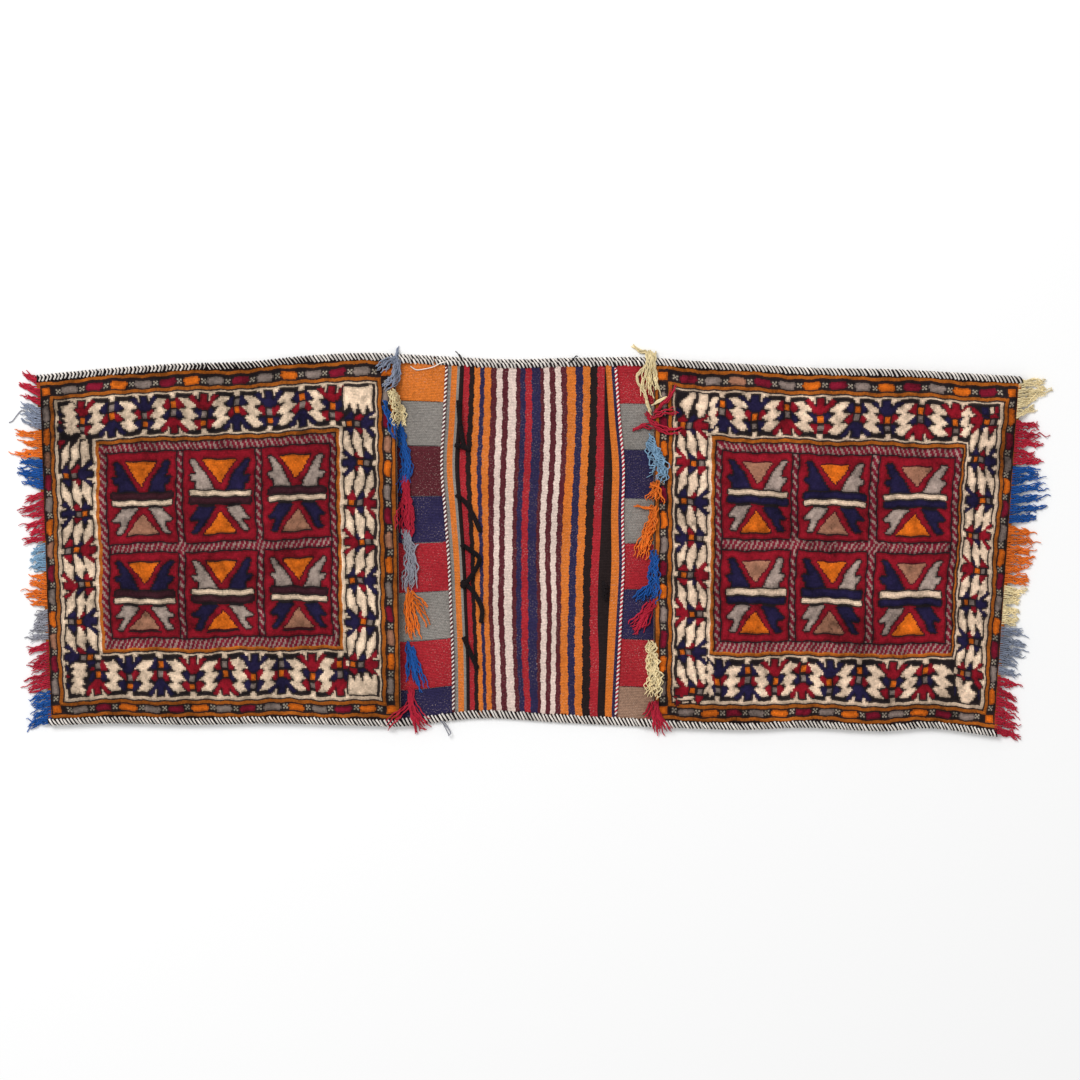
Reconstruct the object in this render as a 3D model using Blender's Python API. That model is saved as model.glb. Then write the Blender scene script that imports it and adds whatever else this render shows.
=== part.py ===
"""A hand-woven double saddle bag, empty and lying flat with its pouch fronts up.

Sizes are metres and +Z is up. The origin is on the floor under the middle of the
bridge. +X runs along the bag and +Y across it. Every piece of cloth is drawn flat, in
cloth coordinates (along, across), and then laid on the floor by lay_down, which gives
the bag its leaning ends and wavy sides.
"""

import math
from typing import NamedTuple

import bmesh
import bpy
from mathutils import Vector
from mathutils.geometry import delaunay_2d_cdt

# The whole bag, without its fringes.
BAG_LENGTH = 1.354
BAG_WIDTH = 0.510
BRIDGE_LENGTH = 0.358

# Thicknesses of cloth and the room between them.
STRIP_THICKNESS = 0.003
PANEL_THICKNESS = 0.008
PANEL_EDGE_THICKNESS = 0.0035
POUCH_GAP = 0.0065
PANEL_RISE_RUN = 0.030
CLEARANCE = 0.0003
SEAM_MARGIN = 0.002

# The overcast binding round both long sides.
BINDING_WIDTH = 0.013
BINDING_WRAP = 0.0014
BINDING_PROUD = 0.003
BINDING_EDGE = 0.0004
BINDING_STITCH = 0.012
BINDING_RIDGE = 0.0005
BINDING_SLOT_END = 0.001
BINDING_STEP_RUN = 0.020
STRIP_LIFT_RUN = 0.012

# The bridge: a band of slit blocks beside each mouth, and stripes between the bands.
LEFT_SLIT_BAND = 0.066
RIGHT_SLIT_BAND = 0.050
TWINED_LINE_WIDTH = 0.004
TWINED_LINE_HEIGHT = 0.0012
SLIT_WIDTH = 0.0012
OPEN_SLIT_WIDTH = 0.0034
SLIT_MARGIN = 0.004
OPEN_SLITS = {"left": (4, 5), "right": (3,)}

# Two pleats in the bridge: the middle of each, along the bag.
LEFT_PLEAT = -0.095
RIGHT_PLEAT = 0.106
PLEAT_WIDTH = 0.012
PLEAT_HEIGHT = 0.003

# How far the stripes stray from straight lines on the right of the bridge.
STRAY = -0.010
STRAY_PLACE = (0.075, -0.130)
STRAY_REACH = (0.055, 0.150)

# The frames of a pile front: (colour, width at the long sides, width at the ends).
FRAMES = (
    ("orange", 0.006, 0.005),
    ("black", 0.018, 0.012),
    ("orange", 0.005, 0.004),
    ("ivory", 0.066, 0.054),
    ("orange", 0.005, 0.004),
    ("rose", 0.015, 0.010),
)
GUARD_FRAME = 1
MAIN_FRAME = 3
GUARD_PITCH = 0.034
GUARD_BLOCK = (0.024, 0.5)
GUARD_COLOURS = ("grey", "red", "orange")
STALK_SIZE = (0.022, 0.052)
COMPARTMENT_ROWS = 2
DIVIDER_ALONG = 0.009
DIVIDER_ACROSS = 0.014

# Yarn bunches at the outer ends and along the mouths.
BUNCH_GAP = 0.001
BUNCH_ROOT_GAP = 0.0006
END_BUNCH_LENGTH = 0.040
END_BUNCH_ROOT_HEIGHT = 0.0065
END_BUNCH_TIP_HEIGHT = 0.003
MOUTH_BUNCH_WIDTH = 0.022
MOUTH_BUNCH_HEIGHT = 0.008
MOUTH_BUNCH_TIP_HEIGHT = 0.004
FINGER_PITCH = 0.016

# The black lacing cord and the knot of black yarn, both on the bridge.
CORD_DIAMETER = 0.0045
CORD_POINTS = 72
KNOT_DIAMETER = 0.006
KNOT_LENGTH = 0.024
KNOT_PLACE = (0.109, -0.069)

# Longest straight side of a colour field, so that long fields follow the wavy sides.
LONGEST_SIDE = 0.050

# Smooth curves through (share of half the length, offset): the two long sides, the
# lean of the cross lines, and nothing else.
UPPER_SIDE = (
    (-1.00, -0.022), (-0.86, -0.013), (-0.71, -0.006), (-0.57, -0.003), (-0.45, 0.005),
    (-0.32, 0.009), (-0.16, 0.004), (-0.03, 0.000), (0.09, 0.002), (0.24, 0.003),
    (0.34, -0.002), (0.46, -0.007), (0.59, -0.012), (0.75, -0.014), (0.90, -0.020),
    (1.00, -0.024),
)
LOWER_SIDE = (
    (-1.00, -0.004), (-0.86, -0.001), (-0.70, -0.003), (-0.53, -0.001), (-0.36, -0.004),
    (-0.26, -0.005), (-0.10, 0.006), (0.07, 0.000), (0.19, -0.004), (0.34, -0.008),
    (0.46, -0.010), (0.59, -0.007), (0.75, -0.012), (0.86, -0.008), (1.00, -0.020),
)
LEAN = ((-1.00, -0.017), (-0.26, -0.008), (0.26, 0.000), (1.00, 0.036))

# Dyes of the wool, as linear colours.
DYES = {
    "black": (0.012, 0.009, 0.009),
    "navy": (0.018, 0.015, 0.050),
    "red": (0.300, 0.012, 0.030),
    "maroon": (0.075, 0.010, 0.018),
    "rose": (0.260, 0.070, 0.080),
    "orange": (0.580, 0.150, 0.012),
    "tan": (0.420, 0.200, 0.110),
    "ivory": (0.760, 0.590, 0.420),
    "cream": (0.740, 0.600, 0.320),
    "grey": (0.210, 0.190, 0.175),
    "grey_blue": (0.200, 0.230, 0.280),
    "light_blue": (0.160, 0.290, 0.430),
    "blue": (0.020, 0.075, 0.250),
    "undyed": (0.480, 0.400, 0.300),
}
WOOL_ROUGHNESS = 0.9

# Stripes of the bridge from the left, with their widths.
STRIPES = (
    ("grey", 0.005), ("orange", 0.008), ("grey", 0.0035), ("black", 0.006), ("red", 0.008),
    ("black", 0.007), ("orange", 0.008), ("navy", 0.006), ("orange", 0.009), ("maroon", 0.008),
    ("ivory", 0.008), ("maroon", 0.008), ("ivory", 0.011), ("maroon", 0.006), ("navy", 0.007),
    ("red", 0.009), ("navy", 0.012), ("maroon", 0.005), ("ivory", 0.008), ("maroon", 0.008),
    ("ivory", 0.008), ("maroon", 0.008), ("orange", 0.012), ("navy", 0.010), ("orange", 0.010),
    ("black", 0.010), ("red", 0.010), ("navy", 0.003), ("orange", 0.008), ("navy", 0.004),
)

# Slit blocks beside each mouth from the upper side down, with their widths.
SLIT_BLOCKS = {
    "left": (
        ("orange", 0.060), ("grey", 0.060), ("maroon", 0.068), ("navy", 0.063),
        ("red", 0.067), ("grey", 0.065), ("red", 0.065), ("navy", 0.045),
    ),
    "right": (
        ("red", 0.060), ("grey", 0.062), ("navy", 0.066), ("grey", 0.060),
        ("red", 0.062), ("navy", 0.067), ("red", 0.064), ("tan", 0.050),
    ),
}

# Colours of the stalk figures in each main border, from the left or from the upper side.
BORDER_STALKS = {
    "left": {"upper": "RNNRRNNNR", "lower": "RNNRRNNRR", "outer": "NNRRNN", "mouth": "NNRRNNR"},
    "right": {"upper": "NNRRNNRR", "lower": "NNRRNNRR", "outer": "RNNRRNNR", "mouth": "RRNNRRNR"},
}
STALK_DYES = {"R": "red", "N": "navy"}

# Yarn bunches from the upper side down, with their shares of the side.
END_BUNCHES = {
    "left": (
        ("red", 0.045), ("grey_blue", 0.035), ("orange", 0.042), ("blue", 0.048),
        ("red", 0.077), ("light_blue", 0.045), ("orange", 0.053), ("grey", 0.049),
        ("red", 0.073), ("blue", 0.052),
    ),
    "right": (
        ("cream", 0.063), ("red", 0.070), ("blue", 0.091), ("orange", 0.091),
        ("cream", 0.063), ("grey_blue", 0.077), ("red", 0.091),
    ),
}
MOUTH_BUNCHES = {
    "left": (
        ("grey_blue", 0.050), ("cream", 0.050), ("blue", 0.070), ("red", 0.090),
        ("grey", 0.077), ("orange", 0.070), ("blue", 0.070), ("red", 0.060),
    ),
    "right": (
        ("cream", 0.090), ("red", 0.050), ("light_blue", 0.052), ("orange", 0.090),
        ("blue", 0.065), ("red", 0.050), ("cream", 0.080), ("red", 0.050),
    ),
}

# The route of the lacing cord in cloth coordinates, chosen by eye.
CORD_ROUTE = (
    (-0.095, 0.200), (-0.092, 0.194), (-0.087, 0.162), (-0.083, 0.132), (-0.088, 0.097),
    (-0.094, 0.060), (-0.088, 0.050), (-0.076, 0.043), (-0.065, 0.026), (-0.064, 0.011),
    (-0.078, 0.001), (-0.088, -0.006), (-0.074, -0.014), (-0.066, -0.023), (-0.070, -0.035),
    (-0.077, -0.045), (-0.082, -0.060), (-0.078, -0.069), (-0.068, -0.074), (-0.061, -0.084),
    (-0.060, -0.094), (-0.064, -0.113), (-0.078, -0.123), (-0.086, -0.131), (-0.081, -0.142),
    (-0.072, -0.159), (-0.068, -0.176), (-0.073, -0.195),
)


class Field(NamedTuple):
    """A field of one colour in a flat layout. A field without a colour is a hole."""

    colour: str | None
    outline: list


class Compartment(NamedTuple):
    """The figures in one compartment of a pile front, from its upper side down."""

    upper_triangle: str
    upper_leaves: tuple
    bars: tuple
    lower_triangle: str
    lower_leaves: tuple


COMPARTMENTS = {
    "left": (
        Compartment("orange", ("navy", "navy"), ("maroon", "ivory"), "tan", ("grey", "grey")),
        Compartment("orange", ("grey", "navy"), ("ivory", "maroon"), "orange", ("navy", "grey")),
        Compartment("orange", ("grey", "grey"), ("maroon", "ivory"), "tan", ("navy", "navy")),
    ),
    "right": (
        Compartment("tan", ("navy", "grey"), ("ivory", "navy"), "orange", ("grey", "navy")),
        Compartment("orange", ("navy", "grey"), ("navy", "ivory"), "tan", ("grey", "navy")),
        Compartment("tan", ("navy", "grey"), ("ivory", "navy"), "orange", ("grey", "navy")),
    ),
}

# Outlines in shares of their own box. A figure's second share runs from its foot up.
UPPER_TRIANGLE = ((0.31, 0.86), (0.50, 0.61), (0.71, 0.86))
LOWER_TRIANGLE = ((0.34, 0.07), (0.76, 0.07), (0.53, 0.31))
UPPER_LEAF = ((0.10, 0.86), (0.13, 0.56), (0.43, 0.56), (0.20, 0.86))
LOWER_LEAF = ((0.15, 0.06), (0.22, 0.06), (0.45, 0.35), (0.13, 0.35))
UPPER_BAR = ((0.10, 0.46), (0.94, 0.46), (0.94, 0.54), (0.10, 0.54))
LOWER_BAR = ((0.10, 0.38), (0.94, 0.38), (0.94, 0.46), (0.10, 0.46))
STALK = (
    (0.38, 0.0), (0.62, 0.0), (0.90, 0.35), (0.62, 0.60), (0.95, 1.0), (0.05, 1.0),
    (0.38, 0.60), (0.10, 0.35),
)

HALF_LENGTH = BAG_LENGTH / 2
HALF_WIDTH = BAG_WIDTH / 2
MOUTH = BRIDGE_LENGTH / 2
CLOTH_HALF_WIDTH = HALF_WIDTH - BINDING_PROUD
BINDING_INNER = HALF_WIDTH - BINDING_WIDTH
FREE_HALF_WIDTH = BINDING_INNER - SEAM_MARGIN
EDGE_LIFT = BINDING_WRAP + CLEARANCE
SIDES = {"left": -1, "right": 1}


def clear_scene():
    """Empties the scene."""
    for obj in list(bpy.data.objects):
        bpy.data.objects.remove(obj, do_unlink=True)


def ease(share):
    """Goes from 0 to 1 with level ends."""
    share = min(max(share, 0.0), 1.0)
    return share * share * (3 - 2 * share)


def slope_at(handles, index):
    """Slope of the smooth curve at one of its handles."""
    before = handles[max(index - 1, 0)]
    after = handles[min(index + 1, len(handles) - 1)]
    return (after[1] - before[1]) / (after[0] - before[0])


def smooth_value(handles, station):
    """Value at a station of the smooth curve through handles (station, value)."""
    station = min(max(station, handles[0][0]), handles[-1][0])
    right = next(i for i in range(1, len(handles)) if station <= handles[i][0])
    start, end = handles[right - 1], handles[right]
    span = end[0] - start[0]
    share = (station - start[0]) / span
    leave = slope_at(handles, right - 1) * span
    arrive = slope_at(handles, right) * span
    rise = end[1] - start[1]
    bend = share * (1 - share)
    return (
        start[1]
        + rise * ease(share)
        + bend * ((1 - share) * leave - share * arrive)
    )


def lay_down(along, across):
    """Where a point of the flat cloth lies on the floor."""
    station = along / HALF_LENGTH
    share = across / BAG_WIDTH + 0.5
    side_offset = smooth_value(LOWER_SIDE, station) * (1 - share)
    side_offset += smooth_value(UPPER_SIDE, station) * share
    stray = ease(1 - abs(along - STRAY_PLACE[0]) / STRAY_REACH[0])
    stray *= ease(1 - abs(across - STRAY_PLACE[1]) / STRAY_REACH[1])
    lean = smooth_value(LEAN, station) * (share - 0.5)
    return along + lean + STRAY * stray, across + side_offset


def strip_under(along, across):
    """Height of the strip's underside: on the floor, and lifted inside the bindings."""
    return EDGE_LIFT * ease((abs(across) - FREE_HALF_WIDTH + STRIP_LIFT_RUN) / STRIP_LIFT_RUN)


def pleat_rise(along, place):
    """Extra height of one pleat, which climbs over its width and drops at its far edge."""
    climb = (along - place) / PLEAT_WIDTH + 0.5
    return PLEAT_HEIGHT * min(max(climb, 0.0), 1.0) if climb <= 1.001 else 0.0


def twined_rise(along):
    """Extra height of the twined lines between the slit bands and the stripes."""
    for line in twined_lines():
        if abs(along - line) < TWINED_LINE_WIDTH / 4:
            return TWINED_LINE_HEIGHT
    return 0.0


def strip_top(along, across):
    """Height of the strip's upper face."""
    raised = pleat_rise(along, LEFT_PLEAT) + pleat_rise(along, RIGHT_PLEAT) + twined_rise(along)
    raised *= 1 - ease((abs(across) - FREE_HALF_WIDTH + STRIP_LIFT_RUN) / STRIP_LIFT_RUN)
    return strip_under(along, across) + STRIP_THICKNESS + raised


def panel_rise(along, across):
    """From 0 at the three sewn sides of a front to 1 where it is fully raised."""
    from_side = FREE_HALF_WIDTH - abs(across)
    from_end = HALF_LENGTH - abs(along)
    return ease(min(from_side, from_end) / PANEL_RISE_RUN)


def panel_under(along, across):
    """Height of a front's inner face."""
    seam = strip_under(along, across) + STRIP_THICKNESS + CLEARANCE
    return seam + POUCH_GAP * panel_rise(along, across)


def panel_top(along, across):
    """Height of a front's pile."""
    swell = PANEL_THICKNESS - PANEL_EDGE_THICKNESS
    return panel_under(along, across) + PANEL_EDGE_THICKNESS + swell * panel_rise(along, across)


def wool(name, dye):
    """A matt woollen material of one dye."""
    material = bpy.data.materials.new(name)
    material.use_nodes = True
    shader = material.node_tree.nodes["Principled BSDF"]
    shader.inputs["Base Color"].default_value = (*DYES[dye], 1.0)
    shader.inputs["Roughness"].default_value = WOOL_ROUGHNESS
    shader.inputs["Metallic"].default_value = 0.0
    return material


def rectangle(low_along, low_across, high_along, high_across):
    """Outline of a rectangle in cloth coordinates."""
    return [
        (low_along, low_across),
        (high_along, low_across),
        (high_along, high_across),
        (low_along, high_across),
    ]


def with_steps(outline, longest):
    """The same closed outline with no side longer than longest, turning left."""
    area = sum(
        a[0] * b[1] - b[0] * a[1] for a, b in zip(outline, outline[1:] + outline[:1])
    )
    if area < 0:
        outline = outline[::-1]
    points = []
    for start, end in zip(outline, outline[1:] + outline[:1]):
        count = max(1, math.ceil(math.dist(start, end) / longest))
        for step in range(count):
            share = step / count
            points.append(
                (start[0] + (end[0] - start[0]) * share, start[1] + (end[1] - start[1]) * share)
            )
    return points


def figure(shares, box, mirrored=False):
    """An outline in shares of a box (low along, low across, high along, high across)."""
    low_along, low_across, high_along, high_across = box
    points = []
    for share_along, share_across in shares:
        if mirrored:
            share_along = 1 - share_along
        points.append(
            (
                low_along + (high_along - low_along) * share_along,
                low_across + (high_across - low_across) * share_across,
            )
        )
    return points


def cloth(name, fields, top, under, longest=LONGEST_SIDE, backing=None):
    """A closed piece of cloth from flat colour fields, later fields lying over earlier.

    top and under give the heights of its two faces. With a backing dye, the underside
    is one plain field, and its level middle is one face.
    """
    corners = []
    outlines = []
    for field in fields:
        points = with_steps(field.outline, longest)
        outlines.append(list(range(len(corners), len(corners) + len(points))))
        corners.extend(Vector(point) for point in points)
    places, _, triangles, _, _, sources = delaunay_2d_cdt(corners, [], outlines, 1, 1e-6)
    dyes = sorted({field.colour for field in fields if field.colour})
    if backing:
        dyes.append(backing)
    mesh = bmesh.new()
    verts = [mesh.verts.new((place.x, place.y, 0.0)) for place in places]
    for triangle, source in zip(triangles, sources):
        colour = fields[max(source)].colour
        if colour:
            face = mesh.faces.new([verts[i] for i in triangle])
            face.material_index = dyes.index(colour)
    loose = [vert for vert in mesh.verts if not vert.link_faces]
    bmesh.ops.delete(mesh, geom=loose, context="VERTS")
    raised = bmesh.ops.extrude_face_region(mesh, geom=mesh.faces[:], use_keep_orig=True)
    for vert in raised["geom"]:
        if isinstance(vert, bmesh.types.BMVert):
            vert.co.z = 1.0
    if backing:
        plain_underside(mesh, len(dyes) - 1)
    for vert in mesh.verts:
        along, across, layer = vert.co
        height = top if layer > 0.5 else under
        vert.co = (*lay_down(along, across), height(along, across))
    bmesh.ops.recalc_face_normals(mesh, faces=mesh.faces[:])
    return finish(name, mesh, [wool(f"{name}_{dye}", dye) for dye in dyes])


def plain_underside(mesh, slot):
    """Gives the underside one material, and makes its level middle a single face."""
    lower = [face for face in mesh.faces if all(vert.co.z < 0.5 for vert in face.verts)]
    for face in lower:
        face.material_index = slot
    level = [
        face
        for face in lower
        if all(panel_rise(vert.co.x, vert.co.y) > 0.999 for vert in face.verts)
    ]
    bmesh.ops.dissolve_faces(mesh, faces=level)


def loft(name, rings, dye):
    """A closed body through rings of as many points each, capped at both ends."""
    mesh = bmesh.new()
    loops = [[mesh.verts.new(point) for point in ring] for ring in rings]
    for near, far in zip(loops, loops[1:]):
        for i, corner in enumerate(near):
            following = (i + 1) % len(near)
            mesh.faces.new((corner, near[following], far[following], far[i]))
    mesh.faces.new(loops[0][::-1])
    mesh.faces.new(loops[-1])
    bmesh.ops.recalc_face_normals(mesh, faces=mesh.faces[:])
    return finish(name, mesh, [wool(f"{name}_{dye}", dye)])


def finish(name, mesh, materials):
    """An object of the mesh, in the scene."""
    data = bpy.data.meshes.new(name)
    mesh.to_mesh(data)
    mesh.free()
    for material in materials:
        data.materials.append(material)
    obj = bpy.data.objects.new(name, data)
    bpy.context.scene.collection.objects.link(obj)
    return obj


def twined_lines():
    """Where the two twined lines run, along the bag."""
    return (
        -MOUTH + LEFT_SLIT_BAND + TWINED_LINE_WIDTH / 2,
        MOUTH - RIGHT_SLIT_BAND - TWINED_LINE_WIDTH / 2,
    )


def stripe_fields():
    """The stripes of the bridge, which fill it between the twined lines."""
    first, last = twined_lines()
    start = first + TWINED_LINE_WIDTH / 2
    scale = (last - first - TWINED_LINE_WIDTH) / sum(width for _, width in STRIPES)
    fields = []
    for colour, width in STRIPES:
        end = start + width * scale
        fields.append(
            Field(colour, rectangle(start, -CLOTH_HALF_WIDTH, end, CLOTH_HALF_WIDTH))
        )
        start = end
    return fields


def twined_fields():
    """The twined lines, each as two halves that meet in a raised ridge."""
    fields = []
    for line in twined_lines():
        for low, high in ((line - TWINED_LINE_WIDTH / 2, line), (line, line + TWINED_LINE_WIDTH / 2)):
            fields.append(
                Field("ivory", rectangle(low, -CLOTH_HALF_WIDTH, high, CLOTH_HALF_WIDTH))
            )
    return fields


def slit_band_fields(side):
    """The colour blocks beside one mouth, with a slit between each two of them."""
    first, last = twined_lines()
    if side == "left":
        low, high = -MOUTH, first - TWINED_LINE_WIDTH / 2
    else:
        low, high = last + TWINED_LINE_WIDTH / 2, MOUTH
    blocks = SLIT_BLOCKS[side]
    scale = 2 * CLOTH_HALF_WIDTH / sum(width for _, width in blocks)
    fields = []
    slits = []
    upper = CLOTH_HALF_WIDTH
    for number, (colour, width) in enumerate(blocks):
        lower = upper - width * scale
        fields.append(Field(colour, rectangle(low, lower, high, upper)))
        if number:
            half = (OPEN_SLIT_WIDTH if number in OPEN_SLITS[side] else SLIT_WIDTH) / 2
            slits.append(
                Field(
                    None,
                    [
                        (low + SLIT_MARGIN, upper),
                        (low + 2 * SLIT_MARGIN, upper - half),
                        (high - 2 * SLIT_MARGIN, upper - half),
                        (high - SLIT_MARGIN, upper),
                        (high - 2 * SLIT_MARGIN, upper + half),
                        (low + 2 * SLIT_MARGIN, upper + half),
                    ],
                )
            )
        upper = lower
    return fields + slits


def pleat_fields():
    """Narrow fields in the colours below them, which give the pleats their edges."""
    stripes = stripe_fields()
    fields = []
    for place in (LEFT_PLEAT, RIGHT_PLEAT):
        foot = place - PLEAT_WIDTH / 2
        crest = place + PLEAT_WIDTH / 2
        drop = crest + PLEAT_WIDTH / 10
        for low, high in ((foot, crest), (crest, drop)):
            for colour, outline in stripes:
                inner_low = max(low, outline[0][0])
                inner_high = min(high, outline[1][0])
                if inner_high > inner_low:
                    fields.append(
                        Field(
                            colour,
                            rectangle(inner_low, -CLOTH_HALF_WIDTH, inner_high, CLOTH_HALF_WIDTH),
                        )
                    )
    return fields


def edge_fields(low, high, colour):
    """Fields along both long sides: under the binding, and where the cloth settles."""
    fields = []
    for sign in (-1, 1):
        for inner, outer in (
            (FREE_HALF_WIDTH - STRIP_LIFT_RUN, FREE_HALF_WIDTH),
            (FREE_HALF_WIDTH, CLOTH_HALF_WIDTH),
        ):
            a, b = sorted((sign * inner, sign * outer))
            fields.append(Field(colour, rectangle(low, a, high, b)))
    return fields


def make_strip():
    """The flat-woven strip: both pouch backs, the slit bands and the striped bridge."""
    whole = rectangle(-HALF_LENGTH, -CLOTH_HALF_WIDTH, HALF_LENGTH, CLOTH_HALF_WIDTH)
    fields = [Field("maroon", whole)]
    for low, high in ((-HALF_LENGTH, -MOUTH), (MOUTH, HALF_LENGTH)):
        fields += edge_fields(low, high, "maroon")
    middle = edge_fields(-MOUTH, MOUTH, "maroon")
    fields += middle
    fields += stripe_fields() + twined_fields() + pleat_fields()
    fields += slit_band_fields("left") + slit_band_fields("right")
    cloth("woven_strip", fields, strip_top, strip_under)


def guard_fields(box, side):
    """Blocks of colour along the outer guard frame, whose middle lines make the box."""
    low_along, low_across, high_along, high_across = box
    _, across_width, along_width = FRAMES[GUARD_FRAME]
    fields = []
    for fixed, width, low, high, lengthwise in (
        (low_across, across_width, low_along, high_along, True),
        (high_across, across_width, low_along, high_along, True),
        (low_along, along_width, low_across, high_across, False),
        (high_along, along_width, low_across, high_across, False),
    ):
        count = max(2, round((high - low) / GUARD_PITCH))
        pitch = (high - low) / count
        half = min(GUARD_BLOCK[0], 0.8 * pitch) / 2
        half_width = GUARD_BLOCK[1] * width / 2
        for number in range(1, count):
            middle = low + number * pitch
            colour = GUARD_COLOURS[number % len(GUARD_COLOURS)]
            low_corner, high_corner = (middle - half, fixed - half_width), (middle + half, fixed + half_width)
            if not lengthwise:
                low_corner, high_corner = low_corner[::-1], high_corner[::-1]
            fields.append(Field(colour, rectangle(*low_corner, *high_corner)))
    return fields


def stalk_fields(box, side):
    """Stalk figures along the main border, whose middle lines make the box."""
    low_along, low_across, high_along, high_across = box
    outer_first = side == "left"
    runs = (
        ("upper", high_across, True),
        ("lower", low_across, True),
        ("outer", low_along if outer_first else high_along, False),
        ("mouth", high_along if outer_first else low_along, False),
    )
    _, across_width, along_width = FRAMES[MAIN_FRAME]
    fields = []
    for run, fixed, lengthwise in runs:
        colours = BORDER_STALKS[side][run]
        low, high = (low_along, high_along) if lengthwise else (low_across, high_across)
        reach = min(STALK_SIZE[1], across_width if lengthwise else along_width) * 0.9
        inset = (along_width if lengthwise else across_width) / 2 + STALK_SIZE[0]
        pitch = (high - low - 2 * inset) / (len(colours) - 1)
        for number, letter in enumerate(colours):
            middle = low + inset + number * pitch if lengthwise else high - inset - number * pitch
            half = STALK_SIZE[0] / 2
            up = number % 2 == 0
            shares = [(a, b if up else 1 - b) for a, b in STALK]
            if lengthwise:
                around = (middle - half, fixed - reach / 2, middle + half, fixed + reach / 2)
            else:
                shares = [(b, a) for a, b in shares]
                around = (fixed - reach / 2, middle - half, fixed + reach / 2, middle + half)
            fields.append(Field(STALK_DYES[letter], figure(shares, around)))
    return fields


def compartment_fields(box, plan):
    """The red compartment and the figures woven in it."""
    fields = [Field("red", rectangle(*box))]
    fields.append(Field(plan.upper_triangle, figure(UPPER_TRIANGLE, box)))
    fields.append(Field(plan.lower_triangle, figure(LOWER_TRIANGLE, box)))
    for mirrored in (False, True):
        fields.append(Field(plan.upper_leaves[mirrored], figure(UPPER_LEAF, box, mirrored)))
        fields.append(Field(plan.lower_leaves[mirrored], figure(LOWER_LEAF, box, mirrored)))
    fields.append(Field(plan.bars[0], figure(UPPER_BAR, box)))
    fields.append(Field(plan.bars[1], figure(LOWER_BAR, box)))
    return fields


def inset_box(box, along, across):
    """A box made smaller by a width at each end and a width at each side."""
    return (box[0] + along, box[1] + across, box[2] - along, box[3] - across)


def panel_fields(side):
    """The woven design of one pile front, from its frames in to its compartments."""
    sign = SIDES[side]
    low, high = sorted((sign * MOUTH, sign * HALF_LENGTH))
    whole = (low, -CLOTH_HALF_WIDTH, high, CLOTH_HALF_WIDTH)
    fields = [Field("black", rectangle(*whole))]
    box = (low, -FREE_HALF_WIDTH, high, FREE_HALF_WIDTH)
    figures = []
    for number, (colour, across_width, along_width) in enumerate(FRAMES):
        fields.append(Field(colour, rectangle(*box)))
        middle = inset_box(box, along_width / 2, across_width / 2)
        if number == GUARD_FRAME:
            figures += guard_fields(middle, side)
        if number == MAIN_FRAME:
            figures += stalk_fields(middle, side)
        box = inset_box(box, along_width, across_width)
    fields.append(Field("rose", rectangle(*box)))
    plans = COMPARTMENTS[side]
    wide = (box[2] - box[0] - (len(plans) - 1) * DIVIDER_ALONG) / len(plans)
    tall = (box[3] - box[1] - (COMPARTMENT_ROWS - 1) * DIVIDER_ACROSS) / COMPARTMENT_ROWS
    for column, plan in enumerate(plans):
        for row in range(COMPARTMENT_ROWS):
            start = box[0] + column * (wide + DIVIDER_ALONG)
            foot = box[1] + row * (tall + DIVIDER_ACROSS)
            figures += compartment_fields((start, foot, start + wide, foot + tall), plan)
    return fields + figures


def make_panel(side):
    """One knotted pile front, sewn on three sides and open towards the bridge."""
    cloth(f"front_panel_{side}", panel_fields(side), panel_top, panel_under, backing="undyed")


def layers_top(along):
    """Height of the cloth layers inside a binding, which are two at a pouch."""
    doubled = CLEARANCE + PANEL_EDGE_THICKNESS
    step_start = MOUTH - BINDING_STITCH - BINDING_STEP_RUN
    step = ease((abs(along) - step_start) / BINDING_STEP_RUN)
    return EDGE_LIFT + STRIP_THICKNESS + doubled * step


def binding_section(along, ridge):
    """(distance in from the outer side, height) round a binding's C-shaped section."""
    top = layers_top(along) + CLEARANCE
    crown = top + BINDING_WRAP + ridge
    slot_end = BINDING_PROUD - BINDING_SLOT_END
    return (
        (BINDING_WIDTH, top + BINDING_EDGE),
        (BINDING_WIDTH * 0.55, crown),
        (BINDING_PROUD * 0.6, crown - BINDING_WRAP / 2),
        (-ridge, crown / 2),
        (BINDING_PROUD * 0.6, BINDING_WRAP / 2),
        (BINDING_WIDTH * 0.55, 0.0),
        (BINDING_WIDTH, BINDING_WRAP - BINDING_EDGE),
        (BINDING_WIDTH, BINDING_WRAP),
        (slot_end, BINDING_WRAP),
        (slot_end, top),
        (BINDING_WIDTH, top),
    )


def make_binding(name, sign):
    """The overcast binding of one long side, with a ridge at every second ring."""
    count = 2 * round(BAG_LENGTH / BINDING_STITCH / 2)
    rings = []
    for number in range(count + 1):
        along = -HALF_LENGTH + BAG_LENGTH * number / count
        ridge = BINDING_RIDGE * (1 if number % 2 else -1)
        ring = []
        for inwards, height in binding_section(along, ridge):
            across = sign * (HALF_WIDTH - inwards)
            ring.append((*lay_down(along, across), height))
        rings.append(ring)
    return loft(name, rings, "black")


def finger_outline(width, length, root_share):
    """A bunch in plan as (run from the root, sideways): a body that ends in fingers."""
    count = max(2, round(width / FINGER_PITCH))
    pitch = width / count
    split = length * 0.45
    outline = [(0.0, -width / 2 * root_share), (split, -width / 2)]
    for number in range(count):
        middle = (number + 0.5) * pitch - width / 2
        reach = length * (1.0 if number % 2 else 0.80)
        tip = pitch * 0.12
        outline.append((reach, middle - tip))
        outline.append((reach, middle + tip))
        outline.append((split, middle + pitch / 2))
    outline.append((0.0, width / 2 * root_share))
    return outline


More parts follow.
